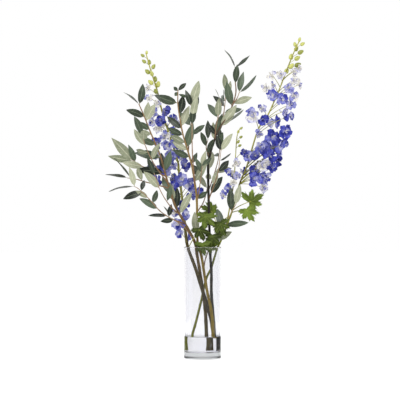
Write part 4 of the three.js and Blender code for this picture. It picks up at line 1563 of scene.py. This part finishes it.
@dataclass
class GreenLeaves:
    """A delphinium's palm-shaped leaves: five deep lobes, each cut into teeth."""

    owner: str
    line: Line
    node: PackedNode
    seed: int = 70
    apart: float = 52.0  # degrees from lobe to lobe
    reach: float = 26.0  # degrees from a lobe's middle to the notch beside it
    roll: float = 18.0  # degrees that a leaf is rolled about its middle lobe
    droop: float = 0.3  # how far its tips bend down, for a radius of one
    fold: float = 0.3  # how steeply its lobes are folded up
    thickness: float = 0.5
    packed_thickness: float = 0.9  # of the leaf that it stands for
    rows: int = 9  # points from its middle to its rim
    stalk: tuple[float, float] = (1.4, 0.9)
    stalk_rows: int = 14
    sunlit: float = 100.0  # leaves further right than this are the palest

    def rim(self, number: int) -> tuple[Array, Array]:
        """Draws one leaf's outline.

        The five lobes are alike, but each leaf draws its own lengths, leanings and teeth.

        Args:
            number: the leaf's place in its table, which starts its draws.

        Returns:
            Angles in degrees, and the share of the radius reached at each.
        """
        draw = np.random.default_rng(self.seed + number)
        half = np.array([23, 20, 17, 14, 11, 8, 5, 2.5])
        teeth = [0.6, 0.63, 0.86, 0.7, 0.78, 0.76, 0.93, 0.86]
        offset = np.concatenate([[-self.reach], -half, [0], half[::-1]])
        reach = np.array([0.48, *teeth, 1, *teeth[::-1]])
        # The narrow part on one side of the stalk comes first, and the other side's last.
        turns = [np.array([-180.0, -170, -160, -150, -140])]
        shares = [np.array([0.15, 0.16, 0.2, 0.26, 0.3])]
        for lobe in range(-2, 3):
            lean = draw.uniform(-5, 5) * (1 - np.abs(offset) / self.reach)
            turns.append(lobe * self.apart + offset + lean)
            length = (1 - 0.07 * abs(lobe)) * (draw.uniform(0.84, 1.05) if lobe else 1)
            shares.append(reach * length * draw.uniform(0.92, 1.04, len(reach)))
        turns.append(np.array([130.0, 140, 150, 160, 170]))
        shares.append(np.array([0.5, 0.3, 0.26, 0.2, 0.16]))
        return np.concatenate(turns), np.concatenate(shares)

    def out_and_back(self) -> Array:
        """The shares of the way out over a leaf's upper face, then back under its lower one."""
        return np.concatenate([np.linspace(0, 1, self.rows), np.linspace(1, 0, self.rows)[1:]])

    def blade(
        self, middle: Array, direction: Array, radius: float, outline: tuple[Array, Array]
    ) -> Array:
        """One leaf as a closed shell.

        At angle a and share r of the way out, the point is middle + r * R(a) * (direction * cos a
        + side * sin a) - face * droop * (r * R(a)) ** 2 / radius, with each lobe folded up from
        its middle, on two faces that meet at the rim.

        Args:
            middle: where its stalk meets it.
            direction: where its middle lobe points.
            radius: the reach of its longest lobe.
            outline: its rim, from the method of that name.

        Returns:
            The grid, (rows out and back, points round the rim, 3).
        """
        face = facing(direction, self.roll)
        side = np.cross(face, direction)
        degrees, share = outline
        r = self.out_and_back()[:, None]
        sign = np.sign(self.rows - 1 - np.arange(len(r)))[:, None]
        reach = radius * share[None] * r
        angle = np.radians(degrees)[None]
        fold = np.abs(((degrees + self.apart / 2) % self.apart) / self.apart - 0.5)[None]
        rise = -self.droop * reach**2 / radius + fold * reach * self.fold
        rise = rise + sign * self.thickness / 2 * np.sqrt(1 - r**2)
        return (
            middle
            + (reach * np.cos(angle))[..., None] * direction
            + (reach * np.sin(angle))[..., None] * side
            + rise[..., None] * face
        )

    def build(self, pile: Pile) -> None:
        """Adds the leaves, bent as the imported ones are, and their stalks.

        Args:
            pile: what they are added to.
        """
        for number, (height, centre, heading, radius) in enumerate(GREEN_LEAVES[self.owner]):
            middle = np.array(centre, float)
            for lean in LEANS:
                direction = heading_of(heading, lean)
                face = facing(direction, self.roll)
                tip = middle + direction * radius - face * self.droop * radius
                if self.node.has_corner(tip + face * self.packed_thickness / 2):
                    break
            else:
                LOG.warning("%s: leaf %d isn't in the packed node", self.owner, number)
                continue
            tone = 1.0 if centre[0] > self.sunlit else 0.12 + 0.75 * (number * 0.37 % 1)
            outline = self.rim(number)
            u = (np.append(outline[0], outline[0][0] + 360) + 2.5 * self.apart) / self.apart
            uv = np.stack(np.broadcast_arrays(u[None], self.out_and_back()[:, None]), -1)
            blade = self.blade(middle, direction, radius, outline)
            pile.add(blade[None], tone, finish=1, uv=uv)
            root = self.line.at(self.line.reaches(np.array([height])))
            path = curves(root, middle[None], lift=0.1, rows=self.stalk_rows)
            width = np.linspace(*self.stalk, self.stalk_rows)[None]
            pile.add(tubes(path, width, sides=7), tone=0.7, finish=2)


@dataclass
class Delphinium:
    """A delphinium: its stem with green leaves, its spike, and perhaps a spike at its side."""

    name: str
    radii: tuple[float, float]
    spike_from: float
    buds_from: float
    stem_finish: StemFinish
    seed: int
    side_spike: bool = False
    side_radii: tuple[float, float] = (1.9, 0.9)
    side_from: float = 430.0
    side_buds_from: float = 566.0

    def build(self, looks: Looks) -> None:
        """Makes the stem with its leaves, then the spikes.

        Args:
            looks: the shared finishes by name.
        """
        line = Line(ROUTES[self.name])
        node = PackedNode(f"{self.name}_stem")
        looks = {**looks, "stem": self.stem_finish.material()}
        pile = Pile()
        top = line.reach(self.spike_from)
        stem = Stem(line, self.radii, end=top, joint=0.14, apart=64.0, sides=14)
        pile.add(stem.grid(), tone=0.4)
        GreenLeaves(self.name, line, node).build(pile)
        spikes = [Spike(self.name, line, self.radii, self.spike_from, self.buds_from, self.seed)]
        if self.side_spike:
            twig, radii = Line(ROUTES["side"]), self.side_radii
            low, high = self.side_from, self.side_buds_from
            seed = self.seed + SIDE_SEED
            spikes.append(Spike(f"{self.name}_side", twig, radii, low, high, seed))
            stem = Stem(twig, radii, end=twig.reach(low), joint=0.12, apart=30.0, sides=10)
            pile.add(stem.grid(), tone=0.6, finish=2)
        slot = "dark_stem" if self.name == "delphinium_left" else "green_leaf"
        finishes = [looks["stem"], looks["green"], looks["stalk"]]
        pile.piece(f"{self.name}_leafy_stem", slot, finishes, (f"{self.name}_stem",))
        for spike in spikes:
            spike.florets(looks)
            spike.buds(looks)


# ---------- Olive branches ----------


@dataclass
class OliveBranch:
    """An olive branch: its wood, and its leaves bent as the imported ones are."""

    name: str
    table: OliveTable
    radii: tuple[float, float]
    seed: int
    bark: StemFinish
    twig: tuple[float, float] = (1.7, 0.8)
    droop: float = 0.12  # how far a leaf's tip bends back, as a share of its length
    lean: float = 16.0  # a leaf leans into the depth by up to this
    roll: float = 14.0  # and is rolled by up to this
    slim: float = 0.34  # a spray leaf's width, as a share of its length
    stalk: float = 0.65  # half a leaf's width at its foot

    def __post_init__(self) -> None:
        """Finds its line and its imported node, and starts its draws."""
        self.line = Line(ROUTES[self.name])
        self.node = PackedNode(self.name)
        self.draw = Drawer(self.seed)
        self.leaves: list[tuple] = []

    def keep(
        self, root: Array, direction: Array, face: Array, length: float, width: float
    ) -> bool:
        """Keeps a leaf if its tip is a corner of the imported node.

        Args:
            root: where it leaves the wood.
            direction: where it points.
            face: where its upper side looks.
            length: from its root to its tip.
            width: across its widest place.

        Returns:
            True if it was kept.
        """
        tip = root + direction * length - face * self.droop * length
        if self.node.has_corner(tip):
            self.leaves.append((root, direction, face, length, width))
            return True
        return False

    def leaf(self, root: Array, heading: float, length: float, side: Side) -> None:
        """Draws a leaf of the stem or of a twig, at the first lean that the node shows.

        Args:
            root: where it leaves the wood.
            heading: where it points in the front view, in degrees.
            length: from its root to its tip.
            side: the side that faces the front.
        """
        lean = (self.draw() - 0.5) * 2 * self.lean
        roll = side.value + (self.draw() - 0.5) * 2 * self.roll
        least, slim, slimness = 8, 0.17, 0.09
        width = length * (slim + slimness * self.draw()) + least
        for extra in LEANS:
            direction = heading_of(heading, lean + extra)
            if self.keep(root, direction, facing(direction, roll), length, width):
                return

    def spray(self, route: Route) -> None:
        """Draws five leaves in crossed pairs round a twig that reaches into the depth.

        Leaf i leaves the twig at share 0.42 + 0.56 i / 4, 42 to 54 degrees from its way, and the
        last one at share 0.96, 6 degrees from it. Nearly half show their undersides.

        Args:
            route: the twig's route.
        """
        line, count = Line(route), 5
        for i in range(count):
            last = i == count - 1
            share = np.array(0.96 if last else 0.42 + 0.56 * i / (count - 1))
            along = line.along(share)
            side, up = square_to(along)
            turn = math.radians(180 * i + 90 * (i // 2) + 30 * self.draw())
            lean = math.radians(6 if last else 42 + 12 * self.draw())
            length = 46 + 18 * self.draw()
            roll = 180 if self.draw() < 0.45 else 0
            around = side * math.cos(turn) + up * math.sin(turn)
            direction = along * math.cos(lean) + around * math.sin(lean)
            face = facing(direction, roll + 50 * (self.draw() - 0.5))
            self.keep(line.at(share), direction, face, length, self.slim * length)

    def blades(self) -> tuple[Array, Array, Array]:
        """All the leaves as closed thin shells.

        In words: at share s along a leaf and share k across it, the point is the root plus the
        direction times s * length, less the face times droop * length * s squared, plus the way
        across times k times the half width. That is width / 2 * sin(pi s ** skew) ** full, each
        leaf with its own skew and fullness, and it narrows to a stalk at the root. The edges are
        folded up and waved, the tip turns down, and two faces meet at the edge.

        Returns:
            The grids, each leaf's tone, and the UV map.
        """
        root, direction, face = (np.array([leaf[i] for leaf in self.leaves]) for i in range(3))
        length, width = (np.array([leaf[i] for leaf in self.leaves])[:, None, None] for i in (3, 4))
        draw = np.random.default_rng(self.seed * 7)
        count, half, rows = len(self.leaves), 3, 12
        fold, ripple, thickness = 0.14, 0.5, 0.3
        k, sign = shell_shares(half)
        s = (1 - np.cos(np.pi * np.linspace(0, 1, rows))) / 2
        s_, k_ = s[:, None], k[None]
        skew = draw.uniform(0.82, 1.12, (count, 1, 1))
        full = draw.uniform(0.72, 1.02, (count, 1, 1))
        blade = np.sin(np.pi * s_**skew).clip(1e-6) ** full * ease(s_, 0.02, 0.16)
        reach = width / 2 * draw.uniform(0.88, 1.04, (count, 1, 1)) * blade
        reach = np.maximum(reach, self.stalk)
        reach = np.where((s_ > 0) & (s_ < 1), reach, 0)
        sway = draw.uniform(-0.035, 0.035, (count, 1, 1)) * length
        wave = draw.uniform(0, TAU, (count, 1, 1))
        rise = -self.droop * length * s_**2 + np.abs(k_) * reach * fold
        rise = rise + ripple * k_ * np.sin(wave + 9 * s_) * ease(s_, 0.1, 0.4)
        rise = rise - draw.uniform(-0.03, 0.07, (count, 1, 1)) * length * ease(s_, 0.55, 1.0) * s_
        lift = sign * thickness * np.sqrt(np.clip(1 - k_**2, 0, 1))
        rise = rise + lift * np.minimum(1, 30 * s_ * (1 - s_))
        off = k_ * reach + sway * 4 * s_ * (1 - s_)
        side = np.cross(direction, face)
        grid = (
            root[:, None, None]
            + (length * s_ + 0 * k_)[..., None] * direction[:, None, None]
            + off[..., None] * side[:, None, None]
            + rise[..., None] * face[:, None, None]
        )
        return grid, draw.uniform(0, 1, count), shell_map(s, k)

    def wood(self, looks: Looks) -> None:
        """Makes the stem and its twigs.

        Args:
            looks: the shared finishes by name.
        """
        pile = Pile()
        pile.add(Stem(self.line, self.radii, joint=0.16, apart=38.0).grid(), tone=0.4)
        routes = [twig.route for twig in self.table.twigs] + list(self.table.sprays)
        for number, route in enumerate(routes):
            twig = Stem(Line(route), self.twig, joint=0.22, apart=21.0, sides=8)
            pile.add(twig.grid(), tone=number * 0.21 % 1, finish=1)
        finishes = [self.bark.material(), looks["twig"]]
        pile.piece(f"{self.name}_wood", "olive_leaf", finishes, (self.name,))

    def build(self, looks: Looks) -> None:
        """Makes the leaves and the wood.

        Args:
            looks: the shared finishes by name.
        """
        tip = 3.0  # the highest leaves leave the wood this far from its end
        leafy = [(self.line, self.table.stem)]
        leafy += [(Line(twig.route), twig.leaves) for twig in self.table.twigs]
        for line, leaves in leafy:
            highest = 1 - tip / line.length()
            for height, heading, length, side in leaves:
                share = np.array(min(highest, line.reach(height)))
                self.leaf(line.at(share), heading, length, side)
        for route in self.table.sprays:
            self.spray(route)
        LOG.info("%s: %d leaves", self.name, len(self.leaves))
        grid, tones, uv = self.blades()
        pile = Pile()
        upper_and_under = np.array([0, 0, 0, 1, 1, 1])
        pile.add(grid, tones, upper_and_under, uv)
        finishes = [looks["olive_upper"], looks["olive_under"]]
        pile.piece(f"{self.name}_leaves", "olive_leaf", finishes, (self.name,))
        self.wood(looks)


# ---------- Studio ----------


@dataclass(frozen=True)
class Screen:
    """An upright grey sheet, which stands on both sides of the vase, further out at the front."""

    back: float  # how far out its back end is
    front: float  # how far out its front end is
    depth: float  # how far behind and before the vase its ends are
    low: float
    high: float
    colour: int


@dataclass
class Studio:
    """A white floor and room, soft light, the camera, and grey sheets that the glass shows.

    The camera doesn't see the sheets themselves. Lengths are metres here.
    """

    eye: tuple[float, float, float] = (-0.00675, -4.5, 0.426)
    lens: float = 150.0
    sensor: float = 36.0
    aim: tuple[float, float, float] = (0.0, 0.0, 0.45)
    card: int = 0x989898
    screens: tuple[Screen, ...] = (
        Screen(back=0.2, front=0.3, depth=0.2, low=0.0, high=0.05, colour=0x626262),
        Screen(back=1.0, front=2.0, depth=0.9, low=0.0, high=0.8, colour=0xB4B6BA),
    )

    @staticmethod
    def level(left: float, front: float, right: float, back: float, height: float) -> list:
        """The corners of a level sheet."""
        ends = ((left, front), (right, front), (right, back), (left, back))
        return [(x, y, height) for x, y in ends]

    def sheet(self, name: str, corners: list, colour: int, glow: float = 0.0) -> bpy.types.Object:
        """Makes a flat four-cornered sheet that isn't part of the object.

        Args:
            name: its name.
            corners: its four corners, in order round it.
            colour: its paint, as 0xRRGGBB.
            glow: how strongly it shines with its own paint.

        Returns:
            The sheet.
        """
        mesh = bpy.data.meshes.new(name)
        mesh.from_pydata(corners, [], [(0, 1, 2, 3)])
        g = Graph(name)
        mottle = g.noise(3, 2)
        paint = g.mix(mottle * 0.1, tint(colour), tint(0xFFFFFF))
        inputs = {"Roughness": 0.9, "Emission_Color": paint, "Emission_Strength": glow}
        mesh.materials.append(g.surface(paint, **inputs))
        sheet = bpy.data.objects.new(name, mesh)
        bpy.context.scene.collection.objects.link(sheet)
        return sheet

    def reflected(self, name: str, corners: list, colour: int) -> None:
        """A sheet that only glass and gloss show: it hides from the camera and throws no shade."""
        sheet = self.sheet(name, corners, colour)
        sheet.visible_camera = sheet.visible_shadow = sheet.visible_diffuse = False

    def light(
        self, name: str, place: tuple[float, float, float], size: float, power: float
    ) -> None:
        """Makes a square soft light that looks at the middle of the flowers.

        Args:
            name: its name.
            place: where it is.
            size: how long its side is.
            power: in watts.
        """
        lamp = bpy.data.lights.new(name, "AREA")
        lamp.size, lamp.energy = size, power
        rig = bpy.data.objects.new(name, lamp)
        rig.location = place
        x, y, z = np.array(self.aim) - np.array(place)
        rig.rotation_euler = (math.atan2(math.hypot(x, y), -z), 0, math.atan2(-x, y))
        bpy.context.scene.collection.objects.link(rig)

    def build(self) -> None:
        """Sets it all up."""
        scene = bpy.context.scene
        under, over = -0.0004, 0.001  # heights of the floor, and of a sheet that lies on it
        self.sheet("floor", self.level(-9, -9, 9, 9, under), 0xFFFFFF, glow=0.06)
        for side, name in ((-1, "left"), (1, "right")):
            for number, screen in enumerate(self.screens):
                back = (side * screen.back, screen.depth)
                front = (side * screen.front, -screen.depth)
                low, high = screen.low, screen.high
                corners = [(*back, low), (*front, low), (*front, high), (*back, high)]
                self.reflected(f"screen_{name}_{number}", corners, screen.colour)
        upright = [(-12, -6, 0), (12, -6, 0), (12, -6, 5), (-12, -6, 5)]
        self.reflected("card_front", upright, self.card)
        self.reflected("card_low", self.level(-12, -6, 12, -0.3, over), self.card)
        self.reflected("card_left", self.level(-0.3, -0.3, -0.06, 0.06, over), self.card)
        self.reflected("card_right", self.level(0.06, -0.3, 0.3, 0.06, over), self.card)
        world = bpy.data.worlds.new("white room")
        world.use_nodes = True
        room = world.node_tree.nodes["Background"]
        room.inputs["Color"].default_value = tint(0xFFFFFF)
        room.inputs["Strength"].default_value = 1.0
        scene.world = world
        self.light("key", (-1.6, -2.6, 2.6), size=1.6, power=55)
        self.light("fill", (2.2, -2.0, 1.2), size=2.0, power=14)
        camera = bpy.data.cameras.new("camera")
        camera.lens, camera.sensor_width = self.lens, self.sensor
        rig = bpy.data.objects.new("camera", camera)
        rig.location, rig.rotation_euler = self.eye, (math.pi / 2, 0, 0)
        scene.collection.objects.link(rig)
        scene.camera = rig
        scene.view_settings.view_transform = "Standard"


def common_looks() -> Looks:
    """Makes the finishes that several pieces share.

    Returns:
        The finishes by name.
    """
    finishes = {
        "petal": PetalFinish("petal"),
        "heart": BudFinish("floret_heart", dark=0xD9D6CC, light=0xF6F3EA, tip=0x8E84C8),
        "bud": BudFinish("green_bud", dark=0x878F3A, light=0xCCCE74, tip=0x9EA648),
        "stalk": StemFinish("flower_stalk", foot=0x7E8038, tip=0xB0AE58, streak=0x9A8E48),
        "axis": StemFinish(
            "spike_axis", foot=0x484026, tip=0xA8A654, streak=0x6A6234, change=(0.0, 0.5)
        ),
        "green": GreenFinish("green_leaf", dark=0x2C380E, light=0x788E36, rib=0xA8BC5C),
        "twig": StemFinish("olive_twig", foot=0x7C6048, tip=0xA08870, streak=0x5C4A38),
        "olive_upper": OliveFinish(
            "olive_leaf_upper",
            dark=0x1C221C,
            light=0x56644F,
            rib=0x868F78,
            rough=0.34,
            rib_width=0.07,
            veins=0.1,
            sheen=0.3,
        ),
        "olive_under": OliveFinish(
            "olive_leaf_under",
            dark=0x777E66,
            light=0xB1B49A,
            rib=0xCECDB4,
            rough=0.75,
            rib_width=0.12,
            veins=0.2,
            sheen=0.1,
        ),
    }
    return {name: finish.material() for name, finish in finishes.items()}


def main() -> None:
    """Builds the vase, the flowers and the studio."""
    logging.basicConfig(level=logging.INFO, format="%(name)s: %(message)s")
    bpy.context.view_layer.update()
    looks = common_looks()
    GlassVase().build()
    Delphinium(
        "delphinium_left",
        radii=(6.2, 1.3),
        spike_from=312,
        buds_from=712,
        stem_finish=StemFinish("dark_stem", foot=0x2E251A, tip=0x4A4020, streak=0x16110B),
        seed=3,
    ).build(looks)
    Delphinium(
        "delphinium_right",
        radii=(3.7, 1.3),
        spike_from=466,
        buds_from=760,
        stem_finish=StemFinish("green_stem", foot=0x686C14, tip=0x83893A, streak=0x4A4A10),
        seed=4,
        side_spike=True,
    ).build(looks)
    brown = StemFinish("brown_bark", foot=0x4E431C, tip=0x86694C, streak=0x2E2612)
    olive = StemFinish("olive_bark", foot=0x7E6B20, tip=0x8A7050, streak=0x4A3E14)
    grey = StemFinish(
        "grey_bark", foot=0x2A2822, tip=0x7E6450, streak=0x141310, change=(0.55, 0.8)
    )
    for name, table, radii, seed, bark in (
        ("olive_left", OLIVE_LEFT, (5.3, 1.3), 11, brown),
        ("olive_centre", OLIVE_CENTRE, (4.5, 1.3), 12, olive),
        ("olive_right", OLIVE_RIGHT, (4.6, 1.2), 13, grey),
    ):
        OliveBranch(name, table, radii, seed, bark).build(looks)
    Studio().build()


if __name__ == "__main__":
    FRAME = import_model()
    main()
